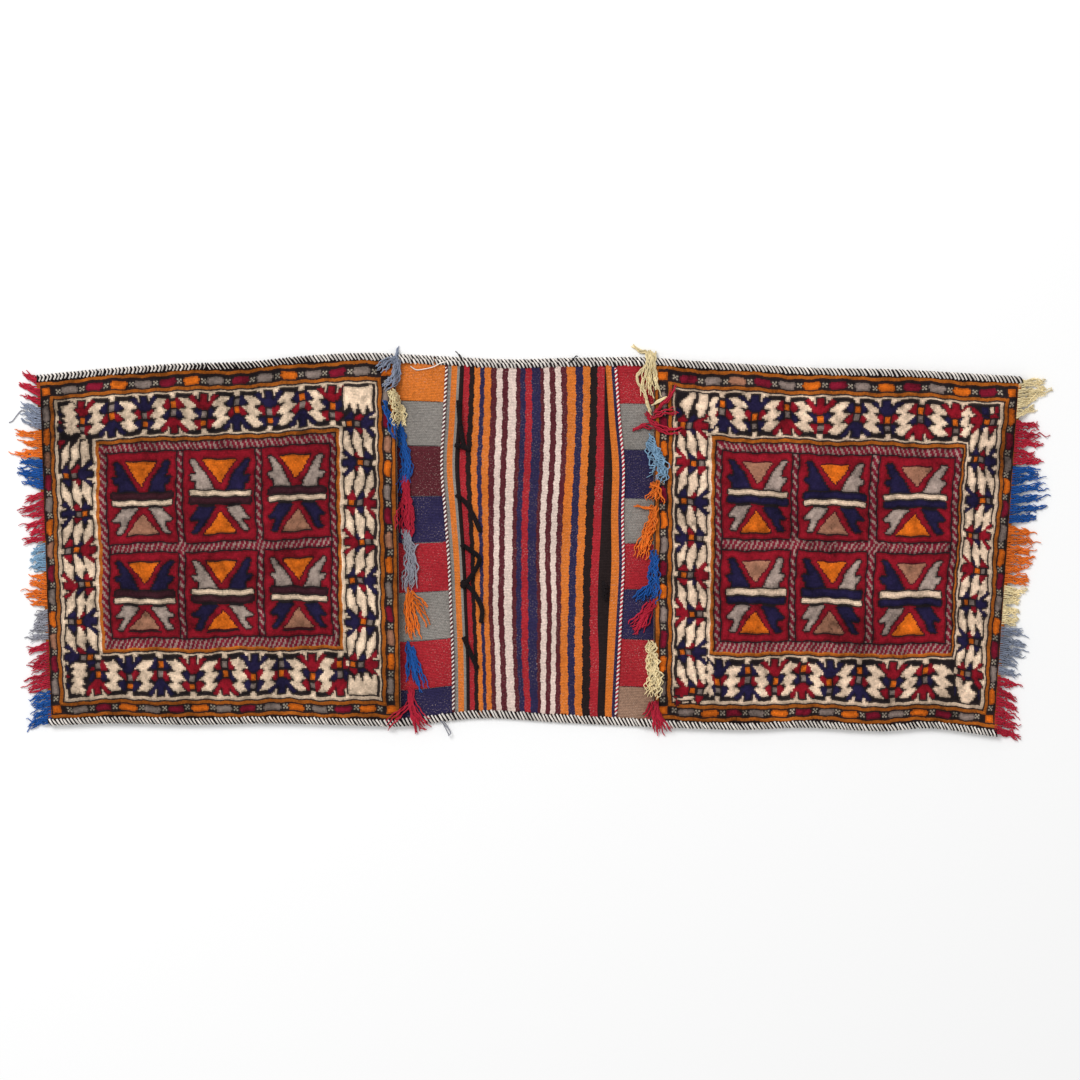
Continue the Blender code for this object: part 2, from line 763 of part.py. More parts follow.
def bunch_spans(bunches, low, high):
    """(colour, lower side, upper side) of bunches that share a side, from its top down."""
    scale = (high - low) / sum(width for _, width in bunches)
    upper = high
    spans = []
    for colour, width in bunches:
        lower = upper - width * scale
        spans.append((colour, lower + BUNCH_GAP / 2, upper - BUNCH_GAP / 2))
        upper = lower
    return spans


def make_end_bunches(side):
    """The yarn bunches that stand out of one outer end and lie on the floor."""
    sign = SIDES[side]
    start = HALF_LENGTH + BUNCH_ROOT_GAP

    def top(along, across):
        share = ease((abs(along) - start) / (0.6 * END_BUNCH_LENGTH))
        return END_BUNCH_ROOT_HEIGHT + (END_BUNCH_TIP_HEIGHT - END_BUNCH_ROOT_HEIGHT) * share

    def under(along, across):
        return CLEARANCE

    spans = bunch_spans(END_BUNCHES[side], -CLOTH_HALF_WIDTH, CLOTH_HALF_WIDTH)
    for number, (colour, lower, upper) in enumerate(spans, 1):
        middle = (lower + upper) / 2
        outline = [
            (sign * (start + run), middle + sideways)
            for run, sideways in finger_outline(upper - lower, END_BUNCH_LENGTH, 1.0)
        ]
        cloth(f"fringe_{side}_end_{number:02d}_{colour}", [Field(colour, outline)], top, under)


def make_mouth_bunches(side):
    """The yarn bunches that lie down along one mouth, beside the edge of its front."""
    sign = SIDES[side]
    near = MOUTH - BUNCH_ROOT_GAP
    middle = near - MOUTH_BUNCH_WIDTH / 2
    spans = bunch_spans(MOUTH_BUNCHES[side], -FREE_HALF_WIDTH, FREE_HALF_WIDTH)
    for number, (colour, lower, upper) in enumerate(spans, 1):

        def top(along, across, foot=lower, head=upper):
            share = ease((head - across) / (head - foot))
            height = MOUTH_BUNCH_HEIGHT + (MOUTH_BUNCH_TIP_HEIGHT - MOUTH_BUNCH_HEIGHT) * share
            return strip_under(along, across) + STRIP_THICKNESS + height

        def under(along, across):
            return strip_under(along, across) + STRIP_THICKNESS + CLEARANCE

        outline = [
            (sign * (middle + sideways), upper - run)
            for run, sideways in finger_outline(MOUTH_BUNCH_WIDTH, upper - lower, 0.5)
        ]
        cloth(f"fringe_{side}_mouth_{number:02d}_{colour}", [Field(colour, outline)], top, under)


def smooth_route(route, count):
    """Evenly numbered points on the smooth curve through a route's own points."""
    alongs = [(i, point[0]) for i, point in enumerate(route)]
    acrosses = [(i, point[1]) for i, point in enumerate(route)]
    last = len(route) - 1
    stations = [last * i / (count - 1) for i in range(count)]
    return [(smooth_value(alongs, s), smooth_value(acrosses, s)) for s in stations]


def make_cord(name, points, diameter, dye):
    """A cord that lies on the strip along points in cloth coordinates."""
    curve = bpy.data.curves.new(name, "CURVE")
    curve.dimensions = "3D"
    curve.bevel_depth = diameter / 2
    curve.bevel_resolution = 2
    curve.use_fill_caps = True
    line = curve.splines.new("POLY")
    line.points.add(len(points) - 1)
    for corner, (along, across) in zip(line.points, points):
        reach = diameter
        seat = max(strip_top(along + step * reach / 4, across) for step in range(-4, 5))
        height = seat + CLEARANCE + diameter / 2
        corner.co = (*lay_down(along, across), height, 1.0)
    curve.materials.append(wool(f"{name}_{dye}", dye))
    obj = bpy.data.objects.new(name, curve)
    bpy.context.scene.collection.objects.link(obj)
    return obj


def make_knot():
    """The knot of black yarn on the right pleat."""
    along, across = KNOT_PLACE
    steps = 6
    points = [
        (along + 0.002 * math.sin(2 * math.pi * i / steps), across + KNOT_LENGTH * (i / steps - 0.5))
        for i in range(steps + 1)
    ]
    make_cord("black_yarn_knot", points, KNOT_DIAMETER, "black")


def main():
    """Makes every piece of the bag."""
    clear_scene()
    make_strip()
    for side in SIDES:
        make_panel(side)
    make_binding("edge_binding_upper", 1)
    make_binding("edge_binding_lower", -1)
    make_cord("lacing_cord", smooth_route(CORD_ROUTE, CORD_POINTS), CORD_DIAMETER, "black")
    make_knot()
    for side in SIDES:
        make_end_bunches(side)
        make_mouth_bunches(side)


main()
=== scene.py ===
"""The look of a hand-woven double saddle bag that lies flat with its pouch fronts up.

The cloths are drawn flat, in cloth coordinates (along the bag, across it), and laid on
the floor by the same smooth curves as the solids, so that each piece is where its
solid is. Sizes are metres, but for the tables that say millimetres. +X runs along the
bag, +Y across it and +Z up.
"""

import logging
import math
from dataclasses import dataclass, field
from enum import Enum

import bmesh
import bpy
import mathutils
import numpy as np
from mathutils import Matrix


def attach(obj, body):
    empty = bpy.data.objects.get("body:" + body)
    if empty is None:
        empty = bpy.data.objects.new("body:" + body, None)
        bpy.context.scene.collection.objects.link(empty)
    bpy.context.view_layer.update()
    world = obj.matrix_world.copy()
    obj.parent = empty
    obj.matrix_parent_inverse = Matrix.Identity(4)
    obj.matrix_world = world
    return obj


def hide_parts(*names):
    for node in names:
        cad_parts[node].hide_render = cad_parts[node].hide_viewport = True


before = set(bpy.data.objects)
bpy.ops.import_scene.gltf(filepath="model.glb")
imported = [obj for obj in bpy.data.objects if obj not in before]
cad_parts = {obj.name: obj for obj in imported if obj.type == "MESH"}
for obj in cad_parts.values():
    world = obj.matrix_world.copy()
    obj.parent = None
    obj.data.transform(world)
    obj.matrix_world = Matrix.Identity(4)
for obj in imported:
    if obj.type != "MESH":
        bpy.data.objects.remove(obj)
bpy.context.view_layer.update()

LOG = logging.getLogger("saddle_bag")
SEED = 20
MM = 0.001
ROUNDING = 1e-6
YARN_RESOLUTION = 1

Points = list[tuple[float, float]]
Array = np.ndarray
Tree = bpy.types.ShaderNodeTree


class Side(Enum):
    """The two pouches of the bag."""

    LEFT = -1
    RIGHT = 1

    @property
    def word(self) -> str:
        """The side's name as the nodes spell it."""
        return self.name.lower()


class Dye(Enum):
    """The dyes of the wool, as linear colours."""

    BLACK = (0.012, 0.008, 0.009)
    NAVY = (0.014, 0.010, 0.039)
    RED = (0.225, 0.006, 0.014)
    CRIMSON = (0.175, 0.006, 0.020)
    DARK_RED = (0.060, 0.005, 0.010)
    MAROON = (0.045, 0.011, 0.016)
    ROSE = (0.300, 0.190, 0.160)
    ORANGE = (0.600, 0.124, 0.008)
    RUST = (0.450, 0.118, 0.012)
    TAN = (0.310, 0.140, 0.082)
    IVORY = (0.760, 0.560, 0.390)
    GREY = (0.345, 0.262, 0.215)
    DARK_GREY = (0.215, 0.162, 0.136)
    UNDYED = (0.480, 0.400, 0.300)
    STRIPE_ORANGE = (0.700, 0.185, 0.028)
    STRIPE_RED = (0.400, 0.020, 0.029)
    STRIPE_MAROON = (0.103, 0.017, 0.024)
    STRIPE_NAVY = (0.026, 0.021, 0.070)
    STRIPE_GREY = (0.255, 0.234, 0.213)
    STRIPE_BLACK = (0.020, 0.012, 0.012)
    STRIPE_IVORY = (0.800, 0.625, 0.545)
    STRIPE_TAN = (0.320, 0.190, 0.130)
    YARN_RED = (0.420, 0.018, 0.040)
    YARN_ORANGE = (0.720, 0.160, 0.020)
    YARN_BLUE = (0.014, 0.080, 0.300)
    YARN_LIGHT_BLUE = (0.200, 0.340, 0.480)
    YARN_GREY_BLUE = (0.230, 0.260, 0.340)
    YARN_GREY = (0.270, 0.270, 0.310)
    YARN_CREAM = (0.800, 0.660, 0.380)
    YARN_WHITE = (0.800, 0.740, 0.680)

    @property
    def colour(self) -> tuple[float, float, float, float]:
        """The dye with full alpha."""
        return (*self.value, 1.0)


def ease(share: Array | float) -> Array:
    """Goes from 0 to 1 with level ends."""
    share = np.clip(share, 0.0, 1.0)
    return share * share * (3 - 2 * share)


@dataclass(frozen=True)
class SmoothCurve:
    """A smooth curve through chosen handles of (station, value)."""

    handles: tuple[tuple[float, float], ...]

    def at(self, station: Array) -> Array:
        """Reads the curve.

        Args:
            station: Stations, clipped to the handles' own range.

        Returns:
            The curve's value at each station.
        """
        places = np.array([handle[0] for handle in self.handles])
        values = np.array([handle[1] for handle in self.handles])
        ahead = np.minimum(np.arange(len(places)) + 1, len(places) - 1)
        behind = np.maximum(np.arange(len(places)) - 1, 0)
        slopes = (values[ahead] - values[behind]) / (places[ahead] - places[behind])
        station = np.clip(station, places[0], places[-1])
        right = np.clip(np.searchsorted(places, station), 1, len(places) - 1)
        left = right - 1
        span = places[right] - places[left]
        share = (station - places[left]) / span
        rise = values[right] - values[left]
        bend = share * (1 - share)
        leave = slopes[left] * span
        arrive = slopes[right] * span
        return values[left] + rise * ease(share) + bend * ((1 - share) * leave - share * arrive)


@dataclass(frozen=True)
class Lay:
    """How the flat cloth lies on the floor, with the heights of its layers.

    The curves of the sides and of the lean, and the drift, are in millimetres, at stations
    in hundredths of half the bag's length or, for the drift, in millimetres.
    """

    length: float = 1.354
    width: float = 0.510
    bridge: float = 0.358
    strip: float = 0.003
    pile: float = 0.008
    pile_edge: float = 0.0035
    pouch_gap: float = 0.0065
    rise_run: float = 0.030
    clearance: float = 0.0003
    binding_width: float = 0.013
    binding_wrap: float = 0.0014
    binding_proud: float = 0.003
    seam_margin: float = 0.002
    lift_run: float = 0.012
    pleats: tuple[float, float] = (-0.095, 0.106)
    pleat_width: float = 0.012
    pleat_height: float = 0.003
    crest_slack: float = 0.001
    twined: tuple[float, float] = (-0.111, 0.127)
    stray: float = -0.010
    stray_place: tuple[float, float] = (0.075, -0.130)
    stray_reach: tuple[float, float] = (0.055, 0.150)
    search_steps: int = 6
    upper_side: SmoothCurve = SmoothCurve((
        (-100, -22), (-86, -13), (-71, -6), (-57, -3), (-45, 5), (-32, 9), (-16, 4), (-3, 0),
        (9, 2), (24, 3), (34, -2), (46, -7), (59, -12), (75, -14), (90, -20), (100, -24)
    ))
    lower_side: SmoothCurve = SmoothCurve((
        (-100, -4), (-86, -1), (-70, -3), (-53, -1), (-36, -4), (-26, -5), (-10, 6), (7, 0),
        (19, -4), (34, -8), (46, -10), (59, -7), (75, -12), (86, -8), (100, -20)
    ))
    lean: SmoothCurve = SmoothCurve(((-100, -17), (-26, -8), (26, 0), (100, 36)))
    drift_heights: tuple[float, ...] = (-234, -167, -99, -32, 35, 102, 169, 237)
    drifts: tuple[tuple[float, tuple[float, ...]], ...] = (
        (-165, (0, 0, 0, 0, 0, 0, 0, 0)),
        (-112, (6.1, 6.2, 4.3, 2.3, -1.8, -5.9, -1.5, 2.8)),
        (-93, (6.1, 6.2, 4.3, 2.3, -1.8, -5.9, -1.5, 2.8)),
        (-36, (-5.1, -5.8, -8, -6, -4.6, -2.6, 0.8, 2.2)),
        (4, (-3.9, -7.6, -7.1, -6.6, -5.4, -1.4, 1.3, 1.8)),
        (46, (-10.5, -6.5, -3.9, -7.6, -5.7, -0.4, 2.1, 1)),
        (85, (-11.7, -4.3, -2.3, -6.9, -6.4, -3.3, 0.5, 2.1)),
        (110, (-10.2, -5.2, -6.2, -6.6, -4, -0.3, 0.6, 1.5)),
        (113.5, (-1.8, 2.1, 5.8, 9.3, 8.4, 10, 4.6, -0.2)),
        (129, (-1.8, 2.1, 5.8, 9.3, 8.4, 10, 4.6, -0.2)),
        (174, (0, 0, 0, 0, 0, 0, 0, 0)),
    )

    @property
    def half_length(self) -> float:
        """Half the bag's length."""
        return self.length / 2

    @property
    def half_width(self) -> float:
        """Half the bag's width, with its bindings."""
        return self.width / 2

    @property
    def mouth(self) -> float:
        """Distance of both mouths from the middle."""
        return self.bridge / 2

    @property
    def cloth_half_width(self) -> float:
        """Half the width of the cloths inside the bindings."""
        return self.half_width - self.binding_proud

    @property
    def free_half_width(self) -> float:
        """Half the width that the bindings leave free."""
        return self.half_width - self.binding_width - self.seam_margin

    @property
    def edge_lift(self) -> float:
        """Height of the strip inside the bindings."""
        return self.binding_wrap + self.clearance

    def place(self, along: Array, across: Array) -> tuple[Array, Array]:
        """Lays points of the flat cloth on the floor.

        Args:
            along: Cloth coordinates along the bag.
            across: Cloth coordinates across it.

        Returns:
            The points' X and Y.
        """
        station = 100 * along / self.half_length
        share = across / self.width + 0.5
        offset = self.lower_side.at(station) * (1 - share) + self.upper_side.at(station) * share
        stray = ease(1 - np.abs(along - self.stray_place[0]) / self.stray_reach[0])
        stray = stray * ease(1 - np.abs(across - self.stray_place[1]) / self.stray_reach[1])
        lean = self.lean.at(station) * (share - 0.5)
        return along + MM * lean + self.stray * stray, across + MM * offset

    def drift(self, along: Array, across: Array) -> Array:
        """How far the bridge's stripes have crept along the bag.

        Args:
            along: Cloth coordinates along the bag.
            across: Cloth coordinates across it.

        Returns:
            The distance for each place.
        """
        guides = MM * np.array([guide for guide, _ in self.drifts])
        rows = [SmoothCurve(tuple(zip(self.drift_heights, row))) for _, row in self.drifts]
        levels = MM * np.stack([row.at(across / MM) for row in rows])
        right = np.clip(np.searchsorted(guides, along), 1, len(guides) - 1)
        share = np.clip((along - guides[right - 1]) / (guides[right] - guides[right - 1]), 0, 1)
        columns = np.arange(len(share))
        return levels[right - 1, columns] * (1 - share) + levels[right, columns] * share

    def flat(self, x: Array, y: Array) -> tuple[Array, Array]:
        """Finds the cloth coordinates under points of the frame, without the drift.

        Args:
            x: The points' X.
            y: Their Y.

        Returns:
            Their coordinates along the bag and across it.
        """
        along, across = np.array(x, dtype=float), np.array(y, dtype=float)
        for _ in range(self.search_steps):
            there = self.place(along, across)
            along, across = along + x - there[0], across + y - there[1]
        return along, across

    def top_at(self, x: Array, y: Array) -> Array:
        """Finds how high the cloth on top is at points of the frame.

        Args:
            x: The points' X.
            y: Their Y.

        Returns:
            The height at each.
        """
        along, across = self.flat(x, y)
        crept = along - self.drift(along, across)
        return self.surface(np.where(np.abs(along) < self.mouth, crept, along), across)

    def settle(self, across: Array) -> Array:
        """From 0 in the middle of the cloth to 1 where the bindings hold it."""
        inner = self.free_half_width - self.lift_run
        return ease((np.abs(across) - inner) / self.lift_run)

    def strip_under(self, across: Array) -> Array:
        """Height of the strip's underside."""
        return self.edge_lift * self.settle(across)

    def strip_top(self, along: Array, across: Array) -> Array:
        """Finds the height of the strip's upper face, with its two pleats.

        Args:
            along: Cloth coordinates along the bag.
            across: Cloth coordinates across it.

        Returns:
            The height at each place. A pleat climbs evenly and drops at its crest.
        """
        raised = np.zeros_like(along + across)
        for pleat in self.pleats:
            climb = (along - pleat) / self.pleat_width + 0.5
            on_pleat = climb <= 1 + self.crest_slack
            raised = raised + self.pleat_height * np.where(on_pleat, np.clip(climb, 0, 1), 0)
        raised = raised * (1 - self.settle(across))
        return self.strip_under(across) + self.strip + raised

    def panel_rise(self, along: Array, across: Array) -> Array:
        """From 0 at the sewn sides of a front to 1 where it is fully raised."""
        side, end = self.free_half_width - np.abs(across), self.half_length - np.abs(along)
        return ease(np.minimum(side, end) / self.rise_run)

    def panel_under(self, along: Array, across: Array) -> Array:
        """Height of a front's inner face."""
        seam = self.strip_under(across) + self.strip + self.clearance
        return seam + self.pouch_gap * self.panel_rise(along, across)

    def panel_top(self, along: Array, across: Array) -> Array:
        """Height of a front's pile."""
        swell = (self.pile - self.pile_edge) * self.panel_rise(along, across)
        return self.panel_under(along, across) + self.pile_edge + swell

    def surface(self, along: Array, across: Array) -> Array:
        """Finds the height of whatever cloth lies on top.

        Args:
            along: Cloth coordinates along the bag.
            across: Cloth coordinates across it.

        Returns:
            The height at each place, 0 past the outer ends.
        """
        on_front = (np.abs(along) > self.mouth) & (np.abs(along) < self.half_length)
        off_cloth = np.abs(along) >= self.half_length
        height = np.where(on_front, self.panel_top(along, across), self.strip_top(along, across))
        return np.where(off_cloth, 0.0, height)


LAY = Lay()


class Wiring:
    """Adds and joins the nodes of one tree."""

    def __init__(self, tree: bpy.types.NodeTree) -> None:
        """Takes the tree."""
        self.tree = tree

    def put(self, socket: bpy.types.NodeSocket, value: object) -> None:
        """Joins an input to a socket, or sets it to a value.

        Args:
            socket: The input.
            value: An output to join it to, or a plain value.
        """
        if isinstance(value, bpy.types.NodeSocket):
            self.tree.links.new(value, socket)
        else:
            socket.default_value = value

    def node(self, kind: str, settings: dict | None = None, **given: object) -> bpy.types.Node:
        """Adds a node.

        Args:
            kind: Its kind, without the first words of the type's name.
            settings: Its own properties, set before its inputs.
            given: Its inputs by name, as values or sockets, with _ for a space.

        Returns:
            The node.
        """
        node = self.tree.nodes.new(f"ShaderNode{kind}")
        for name, value in (settings or {}).items():
            setattr(node, name, value)
        for name, value in given.items():
            self.put(node.inputs[name.replace("_", " ")], value)
        return node

    def math(self, operation: str, *values: object, clamp: bool = False) -> bpy.types.NodeSocket:
        """Adds a Math node.

        Args:
            operation: What it does.
            values: Its inputs in order, as values or sockets.
            clamp: Whether its result stays between 0 and 1.

        Returns:
            Its output.
        """
        node = self.node("Math", {"operation": operation, "use_clamp": clamp})
        for socket, value in zip(node.inputs, values):
            self.put(socket, value)
        return node.outputs[0]


def new_group(
    name: str, inputs: str, outputs: str
) -> tuple[Wiring, bpy.types.Node, bpy.types.Node]:
    """Starts a shared node group that reads a Vector.

    Args:
        name: The group's name.
        inputs: The names of its other inputs, with commas.
        outputs: The names of its outputs, with commas.

    Returns:
        Its wiring, its input node and its output node.
    """
    tree = bpy.data.node_groups.new(name, "ShaderNodeTree")
    tree.interface.new_socket(name="Vector", in_out="INPUT", socket_type="NodeSocketVector")
    for way, names in (("INPUT", inputs), ("OUTPUT", outputs)):
        for word in names.split(", "):
            tree.interface.new_socket(name=word, in_out=way, socket_type="NodeSocketFloat")
    return Wiring(tree), tree.nodes.new("NodeGroupInput"), tree.nodes.new("NodeGroupOutput")


def fibre_group() -> Tree:
    """Builds the shared wool effect: worn and uneven dye, and the height of its fibres.

    Returns:
        A node group with a Shade to multiply a dye by and a Height for a bump.
    """
    wires, given, out = new_group("wool_fibres", "Fibre Scale, Abrash, Mottle", "Shade, Height")

    def noise(scale: object, detail: float) -> bpy.types.NodeSocket:
        """Noise over the surface at one scale."""
        where = given.outputs["Vector"]
        return wires.node("TexNoise", Vector=where, Scale=scale, Detail=detail).outputs["Fac"]

    def swing(source: bpy.types.NodeSocket, amount: bpy.types.NodeSocket) -> bpy.types.NodeSocket:
        """Turns a noise into a factor around 1, by an amount."""
        return wires.math("MULTIPLY_ADD", wires.math("SUBTRACT", source, 0.5), amount, 1.0)

    abrash = swing(noise(9.0, 2.0), given.outputs["Abrash"])
    mottle = swing(noise(420.0, 2.0), given.outputs["Mottle"])
    wires.put(out.inputs["Shade"], wires.math("MULTIPLY", abrash, mottle))
    wires.put(out.inputs["Height"], noise(given.outputs["Fibre Scale"], 3.0))
    return wires.tree


def rib_group() -> Tree:
    """Builds the shared flat weave: wefts side by side with a bead at every warp.

    Returns:
        A node group from a cloth-coordinate UV to a Height, a Shade that paints shade into the
        hollows between ribs and beads, and worn Flecks.
    """
    wires, given, out = new_group("weft_ribs", "Rib, Bead", "Height, Shade, Fleck")
    do, cloth = wires.math, given.outputs["Vector"]
    parts = wires.node("SeparateXYZ", Vector=cloth)
    rib_turn = do("DIVIDE", parts.outputs["Y"], given.outputs["Rib"])
    rib_wave = do("ABSOLUTE", do("SINE", do("MULTIPLY", rib_turn, math.pi)))
    shift = do("MULTIPLY", do("FLOOR", rib_turn), 0.5)
    bead_turn = do("ADD", do("DIVIDE", parts.outputs["X"], given.outputs["Bead"]), shift)
    bead_wave = do("ABSOLUTE", do("SINE", do("MULTIPLY", bead_turn, math.pi)))
    both = do("MULTIPLY", do("POWER", rib_wave, 0.7), do("MULTIPLY_ADD", bead_wave, 0.5, 0.5))
    wires.put(out.inputs["Height"], both)
    # Painted shade: the colour is darker where the weave is low, in the hollows between ribs and
    # beads.
    wires.put(out.inputs["Shade"], do("MULTIPLY_ADD", both, 0.20, 0.88))
    specks = wires.node("TexNoise", Vector=cloth, Scale=520.0, Detail=1.0).outputs["Fac"]
    areas = wires.node("TexNoise", Vector=cloth, Scale=22.0).outputs["Fac"]
    worn = do("MULTIPLY", do("SUBTRACT", areas, 0.36), 3.0, clamp=True)
    spot = do("MULTIPLY", do("SUBTRACT", specks, 0.57), 5.0, clamp=True)
    wires.put(out.inputs["Fleck"], do("MULTIPLY", do("MULTIPLY", worn, spot), 0.45))
    return wires.tree


@dataclass(frozen=True)
class WoolFinish:
    """A woollen finish: one dye or painted knots, with fibres and uneven colour.

    The defaults are those of loose yarn. ribs is how far apart the weave's ribs and their
    beads are, for a cloth that has them.
    """

    name: str
    dye: Dye | None = None
    fibre_scale: float = 1500.0
    abrash: float = 0.4
    mottle: float = 0.8
    bump: float = 0.8
    bump_depth: float = 0.0005
    roughness: float = 0.92
    sheen: float = 0.02
    sheen_roughness: float = 0.6
    specular: float = 0.08
    fibres_on_ribs: float = 0.35
    ribs: tuple[float, float] | None = None

    def build(self, fibre_tree: Tree, rib_tree: Tree) -> bpy.types.Material:
        """Makes the material.

        Args:
            fibre_tree: The shared wool effect.
            rib_tree: The shared flat weave.

        Returns:
            A material that reads Object coordinates, and the piece's own colours and
            cloth coordinates where it has no dye of its own or has ribs.
        """
        material = bpy.data.materials.new(self.name)
        material.use_nodes = True
        wires = Wiring(material.node_tree)
        shader = material.node_tree.nodes["Principled BSDF"]
        shader.inputs["Roughness"].default_value = self.roughness
        shader.inputs["Sheen Weight"].default_value = self.sheen
        shader.inputs["Sheen Roughness"].default_value = self.sheen_roughness
        shader.inputs["Specular IOR Level"].default_value = self.specular
        fibres = wires.node(
            "Group",
            {"node_tree": fibre_tree},
            Vector=wires.node("TexCoord").outputs["Object"],
            Fibre_Scale=self.fibre_scale,
            Abrash=self.abrash,
            Mottle=self.mottle,
        )
        shade, height = fibres.outputs["Shade"], fibres.outputs["Height"]
        if self.dye:
            colour = self.dye.value
            # Each yarn strand's brightness, with painted shade towards its root.
            tone = wires.node("Attribute", {"attribute_name": "tone"})
            shade = wires.math("MULTIPLY", shade, tone.outputs["Fac"])
        else:
            painted = wires.node("Attribute", {"attribute_name": "dye"})
            colour = painted.outputs["Color"]
        if self.ribs:
            cloth = wires.node("UVMap", {"uv_map": "cloth"}).outputs["UV"]
            rib, bead = self.ribs
            weave = wires.node("Group", {"node_tree": rib_tree}, Vector=cloth, Rib=rib, Bead=bead)
            # The weave's Shade adds painted shade in the hollows between its ribs and beads.
            shade = wires.math("MULTIPLY", shade, weave.outputs["Shade"])
            rough = self.fibres_on_ribs
            height = wires.math("MULTIPLY_ADD", height, rough, weave.outputs["Height"])
        tint = wires.node("VectorMath", {"operation": "SCALE"}, Scale=shade)
        wires.put(tint.inputs[0], colour)
        colour = tint.outputs["Vector"]
        if self.ribs:
            fleck = wires.math("MULTIPLY", weave.outputs["Fleck"], painted.outputs["Alpha"])
            mix = wires.node("MixRGB", Fac=fleck, Color1=colour, Color2=Dye.STRIPE_IVORY.colour)
            colour = mix.outputs["Color"]
        wires.put(shader.inputs["Base Color"], colour)
        bump = wires.node("Bump", Strength=self.bump, Distance=self.bump_depth, Height=height)
        wires.put(shader.inputs["Normal"], bump.outputs["Normal"])
        return material


class Finishes:
    """All the bag's materials, each made once."""

    def __init__(self) -> None:
        """Builds the shared groups."""
        self.groups = (fibre_group(), rib_group())
        self.made: dict[str, bpy.types.Material] = {}

    def get(self, finish: WoolFinish) -> bpy.types.Material:
        """Gives the material of a finish, made when it is first asked for.

        Args:
            finish: The finish.

        Returns:
            Its material.
        """
        if finish.name not in self.made:
            self.made[finish.name] = finish.build(*self.groups)
        return self.made[finish.name]

    def yarn(self, dye: Dye) -> bpy.types.Material:
        """The finish of loose or wrapped yarn in one dye."""
        return self.get(WoolFinish(f"yarn_{dye.name.lower()}", dye))


PILE = WoolFinish(
    "knotted_pile", fibre_scale=1100.0, abrash=0.25, mottle=0.55, bump=0.9, bump_depth=0.0010,
    roughness=0.95
)
WEAVE = WoolFinish(
    "flat_weave", fibre_scale=1300.0, abrash=0.22, mottle=0.95, bump=0.9, bump_depth=0.0009,
    ribs=(0.0022, 0.0030)
)


def piece_from_mesh(
    name: str, mesh: bpy.types.Mesh, material: bpy.types.Material, slot: str = "", node: str = ""
) -> bpy.types.Object:
    """Puts a mesh in the scene as a piece with one material, at the origin.

    Args:
        name: The piece's name.
        mesh: Its mesh, already in place.
        material: Its finish.
        slot: A material slot's name for a piece of the bag, which then hangs from the root body; the
            name itself is not stored.
        node: The solid that it takes the place of, if any.

    Returns:
        The new object.
    """
    mesh.materials.clear()
    mesh.materials.append(material)
    piece = bpy.data.objects.new(name, mesh)
    bpy.context.scene.collection.objects.link(piece)
    if slot:
        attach(piece, "root")
    if node:
        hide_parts(node)
    LOG.info("%s: %d faces", name, len(mesh.polygons))
    return piece


def mesh_of(name: str, body: bmesh.types.BMesh) -> bpy.types.Mesh:
    """Turns a bmesh into a mesh and frees it.

    Args:
        name: The mesh's name.
        body: The bmesh.

    Returns:
        The mesh.
    """
    mesh = bpy.data.meshes.new(name)
    body.to_mesh(mesh)
    body.free()
    return mesh


def vectors(items: bpy.types.bpy_prop_collection, kind: str) -> Array:
    """Reads a vector of each of a mesh's vertices or faces.

    Args:
        items: The vertices or the faces.
        kind: The vector's name, such as co or center.

    Returns:
        The vectors, a row each.
    """
    flat = np.empty(len(items) * 3)
    items.foreach_get(kind, flat)
    return flat.reshape(-1, 3)


def lay_down(mesh: bpy.types.Mesh, x: Array, y: Array, height: Array, smooth: Array) -> None:
    """Moves a flat mesh to its place in the frame.

    Args:
        mesh: The mesh.
        x: Its vertices' X in the frame.
        y: Their Y.
        height: Their height.
        smooth: Which faces are shaded smooth.
    """
    mesh.vertices.foreach_set("co", np.stack([x, y, height], axis=1).ravel())
    mesh.polygons.foreach_set("use_smooth", smooth)
    mesh.update()


def fitted(widths: list[float], start: float, end: float) -> Points:
    """Fits stretches one after another between two lines.

    Args:
        widths: Their widths before they are fitted.
        start: Where the first one starts.
        end: Where the last one ends.

    Returns:
        The start and the end of each.
    """
    scale = (end - start) / sum(widths)
    edges = [start]
    for width in widths:
        edges.append(edges[-1] + width * scale)
    return list(zip(edges, edges[1:]))


def line_at(lines: Array, places: Array) -> Array:
    """The number of the first line at or past each place."""
    return np.clip(np.searchsorted(lines, places), 0, len(lines) - 1)


def paint_faces(mesh: bpy.types.Mesh, colours: Array) -> None:
    """Stores a colour for each face in the attribute that the finishes read.

    Args:
        mesh: The mesh.
        colours: Linear RGB, a row for each face.
    """
    sizes = np.empty(len(mesh.polygons), dtype=int)
    mesh.polygons.foreach_get("loop_total", sizes)
    full = np.ones((len(mesh.loops), 4))
    full[:, :3] = np.repeat(colours, sizes, axis=0)
    full[:, 3] = full[:, :3].sum(axis=1) > 0.07
    layer = mesh.color_attributes.new(name="dye", type="FLOAT_COLOR", domain="CORNER")
    layer.data.foreach_set("color", full.ravel())


def keep_cloth_coordinates(mesh: bpy.types.Mesh, flat: Array) -> None:
    """Stores the flat cloth coordinates as a UV map.

    Args:
        mesh: The mesh.
        flat: Cloth coordinates, a row for each vertex.
    """
    which = np.empty(len(mesh.loops), dtype=int)
    mesh.loops.foreach_get("vertex_index", which)
    layer = mesh.uv_layers.new(name="cloth")
    layer.uv.foreach_set("vector", flat[which, :2].astype(np.float32).ravel())


